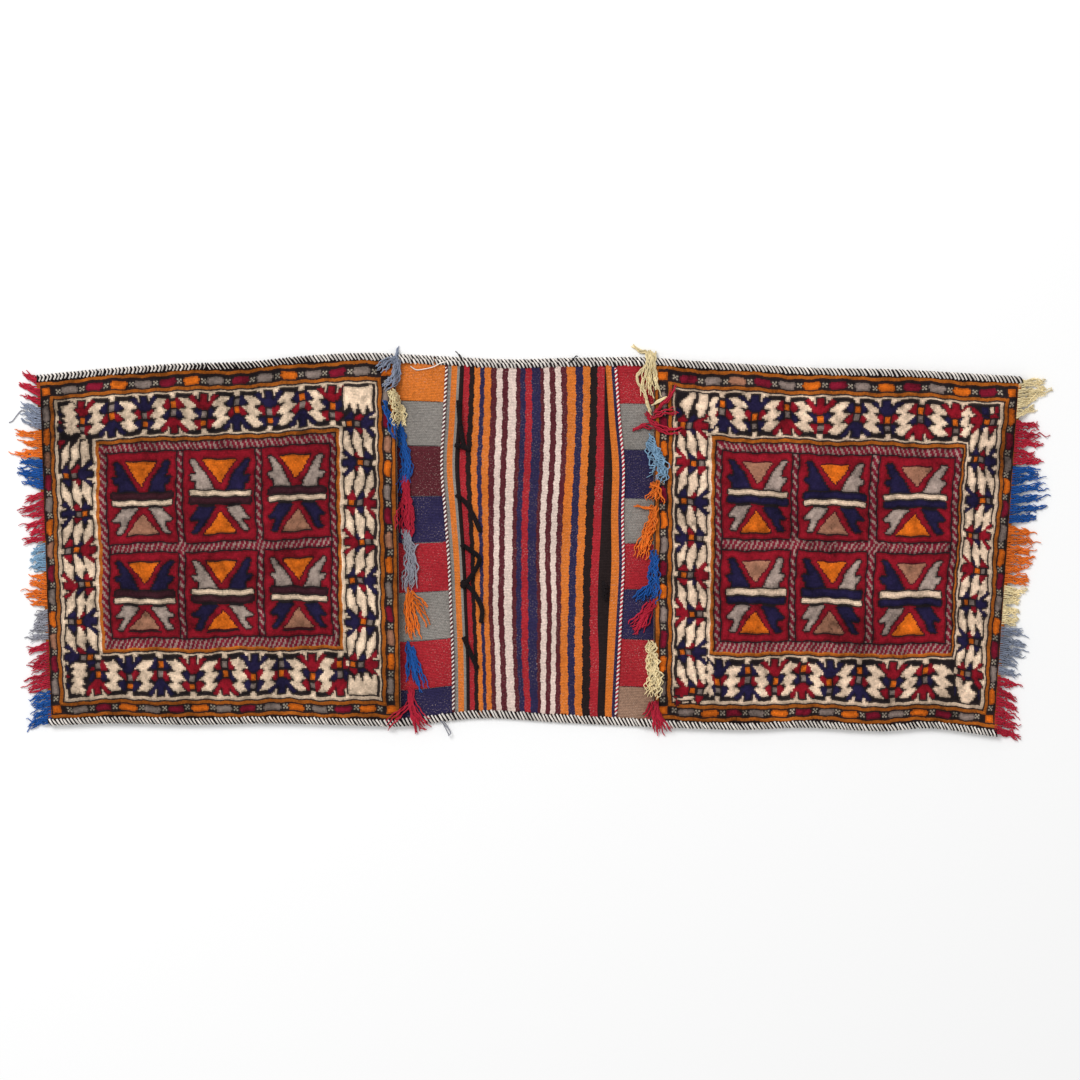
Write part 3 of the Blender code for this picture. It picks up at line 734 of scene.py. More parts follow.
def grid(mesh: bmesh.types.BMesh, columns: Array, rows: Array, level: float) -> list:
    """Adds a flat grid with a line at each column and row.

    Args:
        mesh: The mesh it goes in.
        columns: Places of its lines along the bag, rising.
        rows: Places of its lines across the bag, rising.
        level: A mark kept in Z until the mesh is laid down.

    Returns:
        The grid's vertices.
    """
    made = bmesh.ops.create_grid(
        mesh, x_segments=len(columns) - 1, y_segments=len(rows) - 1, size=0.5
    )["verts"]
    low_x = min(vert.co.x for vert in made)
    low_y = min(vert.co.y for vert in made)
    wide = max(vert.co.x for vert in made) - low_x
    tall = max(vert.co.y for vert in made) - low_y
    for vert in made:
        column = round((vert.co.x - low_x) / wide * (len(columns) - 1))
        row = round((vert.co.y - low_y) / tall * (len(rows) - 1))
        vert.co = (columns[column], rows[row], level)
    return made


def blurred(values: Array, reach: int) -> Array:
    """Averages each cell of a field with its neighbours.

    Args:
        values: The field, with two axes.
        reach: How many cells away they are, both ways.

    Returns:
        The softer field, in the same shape.
    """
    kernel = np.ones(2 * reach + 1) / (2 * reach + 1)
    for axis in (0, 1):
        pad = [(reach, reach) if side == axis else (0, 0) for side in (0, 1)]
        padded = np.pad(values, pad, mode="edge")
        values = np.apply_along_axis(lambda line: np.convolve(line, kernel, "valid"), axis, padded)
    return values


def patches(shape: tuple[int, int], reach: int, chance: np.random.Generator) -> Array:
    """Seeded soft patches of unit strength, about two reaches wide, in a field's shape."""
    found = blurred(blurred(chance.standard_normal(shape), reach), reach)
    return found / found.std()


def yarns(
    name: str, routes: list[Array], radii: list[Array], *fit: object
) -> bpy.types.Object:
    """Makes a piece of many strands of yarn.

    Args:
        name: The piece's name.
        routes: For each strand, its points in the frame, a row each.
        radii: For each strand, its radius at each point.
        fit: The yarn's finish, its slot and the solid it takes the place of, if any.

    Returns:
        The piece, as one mesh at the origin.
    """
    curve = bpy.data.curves.new(name, "CURVE")
    curve.dimensions = "3D"
    curve.bevel_depth = 1.0
    curve.bevel_resolution = YARN_RESOLUTION
    curve.use_fill_caps = True
    for route, radius in zip(routes, radii):
        line = curve.splines.new("POLY")
        line.points.add(len(route) - 1)
        full = np.ones((len(route), 4))
        full[:, :3] = route
        line.points.foreach_set("co", full.ravel())
        line.points.foreach_set("radius", np.asarray(radius, dtype=float))
        line.use_smooth = True
    holder = bpy.data.objects.new(name, curve)
    mesh = bpy.data.meshes.new_from_object(holder)
    bpy.data.objects.remove(holder)
    bpy.data.curves.remove(curve)
    mesh.name = name
    chance = np.random.default_rng(SEED + len(routes))
    ring = 2 * (YARN_RESOLUTION + 2)
    bodies, caps = [], []
    for route in routes:
        # Each strand gets its own random brightness and runs from darker at the root to lighter at
        # the tip: partly worn tips, partly painted shade among the roots.
        own = chance.uniform(0.80, 1.20) * np.linspace(0.88, 1.12, len(route))
        bodies.append(np.repeat(own, ring))
        caps.insert(0, np.repeat(own[[-1, 0]], ring))
    layer = mesh.attributes.new(name="tone", type="FLOAT", domain="POINT")
    layer.data.foreach_set("value", np.concatenate(caps + bodies).astype(np.float32))
    return piece_from_mesh(name, mesh, *fit)


class KnotChart:
    """The design of one pile front, one dye for each knot."""

    def __init__(self, low: tuple[float, float], high: tuple[float, float], knot: float) -> None:
        """Makes a plain black chart over a rectangle of cloth.

        Args:
            low: Its lowest corner in cloth coordinates.
            high: Its highest corner.
            knot: The width that a knot should have.
        """
        self.columns = np.linspace(low[0], high[0], round((high[0] - low[0]) / knot) + 1)
        self.rows = np.linspace(low[1], high[1], round((high[1] - low[1]) / knot) + 1)
        self.along = (self.columns[:-1] + self.columns[1:]) / 2
        self.across = (self.rows[:-1] + self.rows[1:]) / 2
        self.x, self.y = np.meshgrid(self.along, self.across, indexing="ij")
        self.palette = list(Dye)
        self.knots = np.full(self.x.shape, self.palette.index(Dye.BLACK))

    def put(self, dye: Dye, where: Array) -> None:
        """Knots chosen places in one dye."""
        self.knots[where] = self.palette.index(dye)

    def paint(self, dye: Dye, outline: Points, edge: Dye | None = None) -> None:
        """Knots a shape in one dye.

        Args:
            dye: Its dye.
            outline: Its corners in cloth coordinates.
            edge: A dye for a line one knot wide round it.
        """
        hit = np.zeros(self.x.shape, dtype=bool)
        for (x1, y1), (x2, y2) in zip(outline, [*outline[1:], outline[0]]):
            if y1 != y2:
                crossing = (x2 - x1) * (self.y - y1) / (y2 - y1) + x1
                hit ^= ((y1 > self.y) != (y2 > self.y)) & (self.x < crossing)
        if edge is not None:
            grown = np.pad(hit, 1)
            beside = grown[2:, 1:-1] | grown[:-2, 1:-1]
            self.put(edge, beside | grown[1:-1, 2:] | grown[1:-1, :-2])
        self.put(dye, hit)

    def colours(self) -> Array:
        """Linear RGB of each knot."""
        return np.array([dye.value for dye in self.palette])[self.knots]


@dataclass(frozen=True)
class Band:
    """One of the nested frames of a pile front, with its width on each side in millimetres."""

    dye: Dye
    upper: float
    lower: float
    outer: float
    mouth: float


BANDS = (
    Band(Dye.BLACK, 12.5, 11, 1, 1.5),
    Band(Dye.RUST, 4.8, 4.4, 4.4, 4.4),
    Band(Dye.BLACK, 2.4, 2.2, 2.2, 2.2),
    Band(Dye.BLACK, 11.2, 10.5, 8.8, 9.5),
    Band(Dye.BLACK, 2.2, 2.2, 2, 2),
    Band(Dye.RUST, 4.6, 4.4, 4.4, 4.4),
    Band(Dye.BLACK, 2.4, 2.2, 1.4, 1.4),
    Band(Dye.IVORY, 3.4, 3.4, 3.4, 3.4),
    Band(Dye.BLACK, 56, 58.5, 48, 47),
    Band(Dye.IVORY, 3.4, 3.4, 3.4, 3.4),
    Band(Dye.BLACK, 1.4, 1.6, 1.2, 1.2),
    Band(Dye.RUST, 4.4, 4.4, 3.6, 3.6),
    Band(Dye.BLACK, 1.2, 1.4, 1, 1),
    Band(Dye.ROSE, 12, 12.5, 8, 8.2),
    Band(Dye.BLACK, 1.8, 1.8, 1.4, 1.4),
)
# Which of the bands hold the guard of blocks, the main border and the slanting stripes.
GUARD = 3
MAIN = 8
CANDY = 13


@dataclass(frozen=True)
class Box:
    """A rectangle in cloth coordinates."""

    left: float
    bottom: float
    right: float
    top: float

    def covers(self, x: Array, y: Array) -> Array:
        """Which places lie inside the box."""
        return (x > self.left) & (x < self.right) & (y > self.bottom) & (y < self.top)

    def shape(self, shares: Points, mirrored: bool = False) -> Points:
        """Puts an outline in the box.

        Args:
            shares: Its corners, in hundredths of the box from its left and its top.
            mirrored: Whether they are from its right instead.

        Returns:
            The corners in cloth coordinates.
        """
        start, end = (self.right, self.left) if mirrored else (self.left, self.right)
        wide, tall = (end - start) / 100, (self.bottom - self.top) / 100
        return [(start + wide * a, self.top + tall * d) for a, d in shares]

    def corners(self) -> Points:
        """The box's own four corners."""
        return self.shape(((0, 0), (100, 0), (100, 100), (0, 100)))


@dataclass(frozen=True)
class Run:
    """One side of a frame: its outer and its inner line, and whether it goes along the bag."""

    name: str
    edge: float
    inside: float
    lengthwise: bool

    def shape(
        self, shares: Points, place: float, stretch: float, outwards: bool = True
    ) -> Points:
        """Puts an outline on the run.

        Args:
            shares: Its corners as (sideways, way across the run), in hundredths.
            place: Its middle along the run.
            stretch: A factor for the sideways sizes.
            outwards: Whether the way across starts at the inner line.

        Returns:
            The corners in cloth coordinates.
        """
        start, end = (self.inside, self.edge) if outwards else (self.edge, self.inside)
        points = [(place + a * stretch / 100, start + (end - start) * b / 100) for a, b in shares]
        return points if self.lengthwise else [(b, a) for a, b in points]


@dataclass(frozen=True)
class Stalk:
    """One figure of the main border.

    place is its middle along its run, head its main dye, wing the dye of its other
    wings, and towards 1 where its head points out of the panel and -1 inwards. Its two
    small squares are listed from the head.
    """

    place: float
    head: Dye
    wing: Dye
    towards: int
    squares: tuple[Dye, Dye]


# A block of the guard, in hundredths of its half length and of the guard's width.
GUARD_BLOCK = ((-100, 50), (-70, 100), (70, 100), (100, 50), (70, 0), (-70, 0))

# Shapes of a stalk: (sideways in centimetres, hundredths of the border's width from its foot).
STALK_HEAD = (
    (-2, 93), (-1.4, 97.5), (-0.5, 78), (-0.48, 96.5), (0.48, 96.5),
    (0.5, 78), (1.4, 97.5), (2, 93), (0.95, 67), (0.35, 58),
    (-0.35, 58), (-0.95, 67),
)
STALK_TOOTH = ((0.62, 100), (1.55, 100), (0.95, 92), (0.8, 81), (0.66, 90))
FIRST_WING = ((1.5, 54.5), (1.05, 64), (0.5, 64), (0.5, 39), (0.9, 41))
SECOND_WING = ((1.65, 28.5), (1.05, 36), (0.5, 36), (0.5, 9.5), (0.9, 12))
FIRST_SQUARE = ((-0.34, 53), (0.34, 53), (0.34, 38.5), (-0.34, 38.5))
SECOND_SQUARE = ((-0.34, 32), (0.34, 32), (0.34, 17.5), (-0.34, 17.5))
FOOT_SPOT = ((-0.32, 10), (0.32, 10), (0.4, 0), (-0.4, 0))

# The ivory forms between two stalks, in the same units.
LENGTHWISE_FORMS = (
    (
        (1.5, 88.5), (0.2, 90.5), (-0.75, 80.5), (-1.5, 69), (-0.4, 65.5),
        (-0.75, 57), (-1.6, 42.5), (-0.4, 39), (-0.8, 30), (-1.6, 15),
        (-0.2, 11), (0.7, 20), (1.55, 35), (0.4, 39), (0.75, 46.5),
        (1.62, 61.5), (0.4, 65.5), (0.75, 74),
    ),
)
CROSSWISE_FORMS = (
    ((1.8, 9), (0.2, 33), (-2.2, 37), (-0.4, 9)),
    ((1.9, 37), (2, 47), (0.2, 64.5), (-1.9, 63.5), (-0.5, 37)),
    ((1.75, 67), (0.5, 95), (-1.75, 94), (-1.55, 83), (0.05, 68)),
)
# Forms of a corner: hundredths from the outer line inwards, and from the last stalk to the corner.
CORNER_SHAPES: dict[str, tuple[tuple[Dye, Points], ...]] = {
    "stack": (
        (Dye.NAVY, ((2, 78), (16, 66), (2, 56))),
        (Dye.RED, ((2, 46), (13, 40), (2, 33))),
        (Dye.NAVY, ((2, 28), (17, 17), (2, 6))),
        (
            Dye.IVORY,
            (
                (11, 86), (47, 94), (58, 80), (44, 70), (58, 63),
                (47, 50), (64, 39), (63, 32), (54, 26), (70, 8),
                (34, 2), (16, 15), (27, 20), (17, 34), (27, 39),
                (12, 52), (24, 58), (9, 72),
            ),
        ),
    ),
    "cell": (
        (Dye.RED, ((3, 97), (24, 97), (6, 66))),
        (Dye.IVORY, ((10, 6), (34, 45), (36, 96), (14, 60))),
        (Dye.IVORY, ((34, 5), (62, 42), (62, 97), (40, 70))),
        (Dye.IVORY, ((66, 5), (90, 40), (86, 97), (68, 85))),
    ),
    "block": (
        (
            Dye.IVORY,
            (
                (8, 95), (94, 93), (95, 26), (86, 30), (78, 50),
                (70, 20), (62, 18), (54, 46), (46, 20), (36, 16),
                (26, 42), (12, 10),
            ),
        ),
    ),
    "fangs": (
        (Dye.NAVY, ((6, 30), (20, 62), (6, 80))),
        (Dye.NAVY, ((98, 30), (86, 62), (98, 80))),
        (
            Dye.IVORY,
            (
                (90, 8), (74, 8), (64, 36), (56, 10), (36, 12),
                (42, 42), (20, 52), (36, 90), (66, 96), (80, 74), (88, 50),
            ),
        ),
    ),
    "leaning": (
        (Dye.NAVY, ((4, 50), (22, 22), (4, 12))),
        (Dye.IVORY, ((12, 56), (40, 96), (58, 96), (50, 55), (34, 12), (22, 40))),
        (Dye.IVORY, ((66, 96), (95, 96), (95, 50), (80, 16), (66, 12), (62, 50))),
    ),
    "bits": (
        (Dye.NAVY, ((44, 25), (62, 25), (62, 85), (44, 85))),
        (Dye.IVORY, ((26, 35), (36, 35), (36, 85), (26, 85))),
        (Dye.RED, ((10, 30), (18, 30), (18, 85), (10, 85))),
    ),
}

# Figures of a compartment, in hundredths of it from its left and from its top.
COMPARTMENT_SHAPES = {
    "upper_triangle": ((28.5, 10.5), (71.5, 10.5), (50, 35.5)),
    "upper_leaf": (
        (8.5, 9), (16.5, 10), (30.5, 25), (41, 42.5), (16.5, 42.5),
        (16, 34.5), (11, 33.5), (8, 27.5), (17, 26.5), (13, 17.5),
    ),
    "lower_leaf": (
        (20, 62.5), (41.5, 62.5), (27, 79), (18.5, 90.5), (9.5, 90.5),
        (13, 86.5), (18, 80), (18, 75.7), (8.2, 75.7), (8.2, 73.5),
        (15, 68.5),
    ),
    "lower_triangle": ((50, 68), (72, 91.5), (26.5, 91.5)),
    "upper_line": ((27, 8.8), (73, 8.8), (73, 10), (27, 10)),
    "lower_line": ((25, 92.2), (73, 92.2), (73, 94), (25, 94)),
}


@dataclass(frozen=True)
class Compartment:
    """The dyes of one compartment, from its top down."""

    upper_triangle: Dye
    upper_leaves: tuple[Dye, Dye]
    bars: tuple[Dye, Dye]
    lower_triangle: Dye
    lower_leaves: tuple[Dye, Dye]


def run_of(
    places: tuple[float, ...], letters: str, first_out: bool, squares: str
) -> list[Stalk]:
    """Lists the stalks of one run of the main border.

    Args:
        places: The middle of each stalk along the run, in millimetres.
        letters: R or N for each, a red head or a navy one.
        first_out: Whether the first one's head points out of the panel; they alternate.
        squares: o where the square next to the head is orange, g where it is grey.

    Returns:
        The stalks.
    """
    stalks = []
    for number, (place, letter) in enumerate(zip(places, letters)):
        head, wing = (Dye.RED, Dye.NAVY) if letter == "R" else (Dye.NAVY, Dye.RED)
        grey_first = squares[number] == "g"
        pair = (Dye.DARK_GREY, Dye.ORANGE) if grey_first else (Dye.ORANGE, Dye.DARK_GREY)
        outwards = (number % 2 == 0) == first_out
        stalks.append(Stalk(MM * place, head, wing, 1 if outwards else -1, pair))
    return stalks


@dataclass
class PileFront:
    """A knotted pile front: a panel of the bag with its design and its tufts."""

    side: Side
    finishes: Finishes
    stalks: dict[str, list[Stalk]]
    guards: dict[str, str]
    columns: tuple[tuple[float, float], ...]
    rows: tuple[tuple[float, float], ...]
    compartments: tuple[Compartment, ...]
    corner_kinds: dict[str, tuple[str, str]]
    outer_scale: float = 1.0
    knot: float = 0.0022
    backing: float = 0.0200
    # Factors on the red, green and blue of every knot of the front; the left front's are set lower
    # than the right's.
    depth: tuple[float, float, float] = (1.02, 1.02, 1.06)
    relief_height: float = 0.0013
    tuft_height: float = 0.00024
    tuft_shift: float = 0.00022
    swell_height: float = 0.0006
    held_rim: float = 0.010
    shade_beside_black: float = 0.70
    stripe_share: float = 0.62
    upright_stripes: tuple[float, float] = (0.0090, 0.0125)
    level_stripes: tuple[float, float] = (0.0070, 0.0150)
    level_reach: float = 0.0075
    block_share: float = 0.37
    guard_corner: tuple[float, float] = (0.0060, 0.0055)
    form_gap: float = 0.0530
    least_end_form: float = 0.014
    full_end_form: float = 0.034
    end_form_shift: float = 0.0045
    lengthwise_pitch: float = 0.0434
    crosswise_pitch: float = 0.0480
    corner_start: float = 0.0060
    long_corner: float = 0.080
    cell_share: float = 0.46
    cell_gap: float = 0.004
    seed: int = SEED
    chart: KnotChart = field(init=False)

    def __post_init__(self) -> None:
        """Sets out a plain chart."""
        low, high = self.ends()
        across = LAY.cloth_half_width
        self.chart = KnotChart((low, -across), (high, across), self.knot)

    def ends(self) -> list[float]:
        """The lower and the upper end of the panel along the bag."""
        return sorted((self.side.value * LAY.mouth, self.side.value * LAY.half_length))

    def bands(self) -> list[tuple[Band, Box]]:
        """Nests the frames.

        Returns:
            Each band with the box inside its outer line; the last box is the field.
        """
        low, high = self.ends()
        box = Box(low, -LAY.half_width, high, LAY.half_width)
        nested = []
        for band in BANDS:
            nested.append((band, box))
            outer = MM * band.outer * (self.outer_scale if band is BANDS[MAIN] else 1.0)
            mouth = MM * band.mouth
            left, right = (outer, mouth) if self.side is Side.LEFT else (mouth, outer)
            bottom, top = box.bottom + MM * band.lower, box.top - MM * band.upper
            box = Box(box.left + left, bottom, box.right - right, top)
        nested.append((Band(Dye.RED, 0, 0, 0, 0), box))
        return nested

    def design(self) -> None:
        """Knots the whole design into the chart, from the frames in."""
        nested = self.bands()
        for band, box in nested:
            self.chart.paint(band.dye, box.corners())
        self.candy(nested[CANDY][1], nested[CANDY + 1][1])
        self.guard(nested[GUARD][1], nested[GUARD + 1][1])
        self.border(nested[MAIN][1], nested[MAIN + 1][1])
        self.field(nested[-1][1])

    def stripes(self, level: Array, way: Array | int) -> Array:
        """Finds the dark ones of the slanting stripes.

        Args:
            level: Where the stripes slant like those of a level band.
            way: 1 where level ones rise to the left, and -1 where they rise to the right.

        Returns:
            Which knots are in a dark stripe.
        """
        x, y = self.chart.x, self.chart.y
        (upright_x, upright_y), (level_x, level_y) = self.upright_stripes, self.level_stripes
        turn = np.where(level, x / level_x + way * (y / level_y), x / upright_x + y / upright_y)
        return turn % 1.0 < self.stripe_share

    def candy(self, outer: Box, inner: Box) -> None:
        """Knots slanting red and rose stripes between two boxes.

        Args:
            outer: The box round them.
            inner: The box inside them.
        """
        x, y = self.chart.x, self.chart.y
        below = y < inner.bottom
        level = below | ((x >= inner.left) & (x <= inner.right))
        ring = outer.covers(x, y) & ~inner.covers(x, y)
        self.chart.put(Dye.CRIMSON, ring & self.stripes(level, np.where(below, -1, 1)))

    def runs(self, outer: Box, inner: Box) -> tuple[Run, ...]:
        """Takes a frame apart.

        Args:
            outer: The box inside its outer line.
            inner: The box inside its inner line.

        Returns:
            Its four sides, the lengthwise ones first.
        """
        left_side, right_side = ("outer", "mouth") if self.side is Side.LEFT else ("mouth", "outer")
        return (
            Run("upper", outer.top, inner.top, True),
            Run("lower", outer.bottom, inner.bottom, True),
            Run(left_side, outer.left, inner.left, False),
            Run(right_side, outer.right, inner.right, False),
        )

    def guard(self, outer: Box, inner: Box) -> None:
        """Knots the outer guard: long blocks with small crosses between them.

        Args:
            outer: The box inside its outer line.
            inner: The box inside its inner line.
        """
        dyes = {"G": Dye.DARK_GREY, "R": Dye.CRIMSON, "O": Dye.ORANGE, "T": Dye.TAN}
        for run in self.runs(outer, inner):
            fixed = (run.edge + run.inside) / 2
            if run.lengthwise:
                start, end = (outer.left + inner.left) / 2, (outer.right + inner.right) / 2
            else:
                start, end = (outer.top + inner.top) / 2, (outer.bottom + inner.bottom) / 2
            letters = self.guards[run.name]
            pitch = (end - start) / (len(letters) + 1)
            for number, letter in enumerate(letters, 1):
                place = start + pitch * number
                block = run.shape(GUARD_BLOCK, place, abs(pitch) * self.block_share)
                self.chart.paint(dyes[letter], block)
                self.guard_cross(place - pitch / 2, fixed, run.lengthwise)
            self.guard_cross(end - pitch / 2, fixed, run.lengthwise)
            if run.lengthwise:
                wide, tall = self.guard_corner
                for x in (start, end):
                    corner = Box(x - wide, fixed - tall, x + wide, fixed + tall)
                    self.chart.paint(Dye.ORANGE, corner.corners())

    def guard_cross(self, place: float, fixed: float, lengthwise: bool) -> None:
        """Knots a small pale cross of five knots on the black ground between two blocks.

        Args:
            place: Its middle along the run.
            fixed: Its middle across the run.
            lengthwise: Whether the run goes along the bag.
        """
        chart = self.chart
        for run, rise in ((-1, -1), (-1, 1), (0, 0), (1, -1), (1, 1)):
            a, b = place + run * self.knot, fixed + rise * self.knot
            x, y = (a, b) if lengthwise else (b, a)
            column, row = np.searchsorted(chart.columns, x) - 1, np.searchsorted(chart.rows, y) - 1
            if 0 <= column < len(chart.along) and 0 <= row < len(chart.across):
                chart.put(Dye.UNDYED, (column, row))

    def border(self, outer: Box, inner: Box) -> None:
        """Knots the main border: its stalks, its ivory forms and its corners.

        Args:
            outer: The box inside its outer line.
            inner: The box inside its inner line.
        """
        for run in self.runs(outer, inner):
            stalks = self.stalks[run.name]
            pitch = abs(stalks[-1].place - stalks[0].place) / (len(stalks) - 1)
            for stalk in stalks:
                self.stalk(stalk, run, pitch)
            for first, second in zip(stalks, stalks[1:]):
                self.forms(first, second, run)
            if run.lengthwise:
                self.end_form(stalks[0], run, inner.left, -1)
                self.end_form(stalks[-1], run, inner.right, 1)
            else:
                upper, lower = self.corner_kinds[run.name]
                self.corner(upper, run, stalks[0].place, outer.top)
                self.corner(lower, run, stalks[-1].place, outer.bottom)

    def stalk(self, stalk: Stalk, run: Run, pitch: float) -> None:
        """Knots one stalk with its wings, squares, teeth and foot.

        Args:
            stalk: The stalk.
            run: The side of the border that it is on.
            pitch: Mean distance between the stalks of that side.
        """
        if run.lengthwise:
            stretch = min(pitch / self.lengthwise_pitch, 1.12)
        else:
            stretch = min(pitch / self.crosswise_pitch, 1.0)

        def put(dye: Dye, shape: Points, line: Dye | None = None) -> None:
            """Knots one shape of the stalk."""
            outline = run.shape(shape, stalk.place, stretch, stalk.towards > 0)
            self.chart.paint(dye, outline, line)

        def both(dye: Dye, shape: Points, line: Dye | None = None) -> None:
            """Knots a shape on both sides of the stem."""
            put(dye, shape, line)
            put(dye, [(-a, b) for a, b in shape], line)

        both(stalk.head, SECOND_WING, Dye.BLACK)
        both(stalk.wing, FIRST_WING, Dye.BLACK)
        put(stalk.head, STALK_HEAD, Dye.BLACK)
        both(Dye.IVORY, STALK_TOOTH)
        put(stalk.squares[0], FIRST_SQUARE)
        put(stalk.squares[1], SECOND_SQUARE)
        put(Dye.IVORY, FOOT_SPOT)

    def forms(self, first: Stalk, second: Stalk, run: Run) -> None:
        """Knots the ivory forms between two stalks.

        Args:
            first: The stalk before them.
            second: The stalk after them.
            run: The side of the border that they are on.
        """
        middle = (first.place + second.place) / 2
        shapes = LENGTHWISE_FORMS if run.lengthwise else CROSSWISE_FORMS
        towards = first.towards if run.lengthwise else -first.towards
        stretch = abs(second.place - first.place) / self.form_gap * towards
        for shape in shapes:
            self.chart.paint(Dye.IVORY, run.shape(shape, middle, stretch, run.lengthwise))

    def end_form(self, stalk: Stalk, run: Run, end: float, way: int) -> None:
        """Knots an ivory form past the last stalk of a lengthwise run, if there is room.

        Args:
            stalk: The last stalk.
            run: The side of the border.
            end: Where the run ends.
            way: 1 for its right end and -1 for its left one.
        """
        room = (end - stalk.place) * way
        if room > self.least_end_form:
            narrow = min(room / self.full_end_form, 1.0) * stalk.towards * way
            middle = stalk.place + way * (self.end_form_shift + room / 2)
            self.chart.paint(Dye.IVORY, run.shape(LENGTHWISE_FORMS[0], middle, narrow))

    def corner(self, kind: str, run: Run, last: float, end: float) -> None:
        """Knots the end of an upright run, where it fills a corner.

        Args:
            kind: Which shapes go there. A long stack has a cell of its own before it.
            run: The upright run.
            last: The place of its last stalk.
            end: Where the corner ends.
        """
        way = math.copysign(1, end - last)
        start = last + way * self.corner_start
        if kind == "stack" and abs(end - start) > self.long_corner:
            middle = start + (end - start) * self.cell_share
            self.fill(CORNER_SHAPES["cell"], Box(run.edge, middle, run.inside, start))
            start = middle + way * self.cell_gap
        self.fill(CORNER_SHAPES[kind], Box(run.edge, end, run.inside, start))

    def fill(self, shapes: tuple[tuple[Dye, Points], ...], box: Box) -> None:
        """Knots shapes in a box, each with a black outline. Its top is where they start."""
        for dye, shape in shapes:
            self.chart.paint(dye, box.shape(shape), Dye.BLACK)

    def field(self, box: Box) -> None:
        """Knots the compartments and the slanting stripes between them.

        Args:
            box: The field.
        """
        x, y = self.chart.x, self.chart.y
        within = box.covers(x, y)
        level = np.abs(y - (self.rows[0][0] + self.rows[1][1]) / 2) < self.level_reach
        self.chart.put(Dye.CRIMSON, within)
        self.chart.put(Dye.ROSE, within & ~self.stripes(level, -1))
        for plan, (left, right) in zip(self.compartments, self.columns):
            left, right = max(left, box.left), min(right, box.right)
            for bottom, top in self.rows:
                self.compartment(plan, Box(left, max(bottom, box.bottom), right, min(top, box.top)))

    def compartment(self, plan: Compartment, box: Box) -> None:
        """Knots one compartment.

        Args:
            plan: Its dyes.
            box: Its place.
        """
        shapes = COMPARTMENT_SHAPES

        def put(dye: Dye, shape: str, line: Dye | None = None, mirrored: bool = False) -> None:
            """Knots one of the compartment's shapes."""
            self.chart.paint(dye, box.shape(shapes[shape], mirrored), line)

        self.chart.paint(Dye.RED, box.corners(), Dye.BLACK)
        for mirrored in (False, True):
            put(plan.upper_leaves[mirrored], "upper_leaf", Dye.BLACK, mirrored)
            put(plan.lower_leaves[mirrored], "lower_leaf", Dye.BLACK, mirrored)
        put(plan.upper_triangle, "upper_triangle", Dye.DARK_RED)
        put(plan.lower_triangle, "lower_triangle", Dye.DARK_RED)
        put(Dye.BLACK, "upper_line")
        put(Dye.BLACK, "lower_line")
        split = 50.5 if plan.bars[0] is Dye.IVORY else 52
        bars = ((plan.bars[0], 43.7, split), (plan.bars[1], split + 1.2, 59))
        for dye, top, end in bars:
            bar = ((8.5, top), (94.5, top), (94.5, end), (8.5, end))
            self.chart.paint(dye, box.shape(bar), Dye.BLACK)

    def make(self) -> bpy.types.Object:
        """Builds the panel.

        Returns:
            The panel, whose upper face has one face for each knot.
        """
        self.design()
        chart = self.chart
        body = bmesh.new()
        grid(body, chart.columns, chart.rows, 1.0)
        columns, rows = round(LAY.half_length / self.backing), round(LAY.width / self.backing)
        wide = np.linspace(chart.columns[0], chart.columns[-1], columns)
        tall = np.linspace(chart.rows[0], chart.rows[-1], rows)
        under = grid(body, wide, tall, 0.0)
        faces = list({face for vert in under for face in vert.link_faces})
        bmesh.ops.reverse_faces(body, faces=faces)
        rim = [edge for edge in body.edges if edge.is_boundary]
        bmesh.ops.bridge_loops(body, edges=rim)
        bmesh.ops.recalc_face_normals(body, faces=body.faces[:])
        word = self.side.word
        mesh = mesh_of(f"pile_front_{word}", body)
        self.dress(mesh)
        finish = self.finishes.get(PILE)
        return piece_from_mesh(mesh.name, mesh, finish, f"pile_weave_{word}", f"front_panel_{word}")

    def tones(self, chance: np.random.Generator) -> Array:
        """Gives the knots their colours, with uneven dye and wear, edges that run together, and
        painted shade on the knots beside the sunk black ones.

        Args:
            chance: The seeded source.

        Returns:
            Linear RGB of each knot.
        """
        colours = self.chart.colours()
        soft = colours.copy()
        for axis in (0, 1):
            soft = soft + 0.5 * (np.roll(colours, 1, axis) + np.roll(colours, -1, axis))
        colours = 0.85 * colours + 0.15 * soft / 3
        shape = colours.shape[:2]
        dark = self.chart.knots == self.chart.palette.index(Dye.BLACK)
        # Painted shade: knots next to a black knot are darkened, as at the rim of the sunk black
        # outlines.
        beside = sum(np.roll(dark, way, axis) for way in (-1, 1) for axis in (0, 1)) > 0
        colours[beside & ~dark] *= self.shade_beside_black
        shade = 1 + 0.13 * patches(shape, 1, chance) + 0.09 * patches(shape, 4, chance)
        shade = shade + 0.08 * patches(shape, 12, chance) + 0.10 * chance.standard_normal(shape)
        return colours * np.clip(shade, 0.35, 1.8)[:, :, None] * np.array(self.depth)

    def relief(self) -> Array:
        """Works out the wear, as dark wool is worn low.

        Returns:
            How far each corner of the knots stands above the mean pile, of at most 1.
        """
        chart = self.chart
        low = [chart.palette.index(dye) for dye in (Dye.BLACK, Dye.DARK_RED)]
        sunk = np.isin(chart.knots, low)
        level = np.where(sunk, -1.0, 0.25)
        padded = np.pad(level, 1, mode="edge")
        corners = (padded[1:, 1:] + padded[:-1, 1:] + padded[1:, :-1] + padded[:-1, :-1]) / 4
        return 0.75 * corners + 0.25 * blurred(corners, 1)

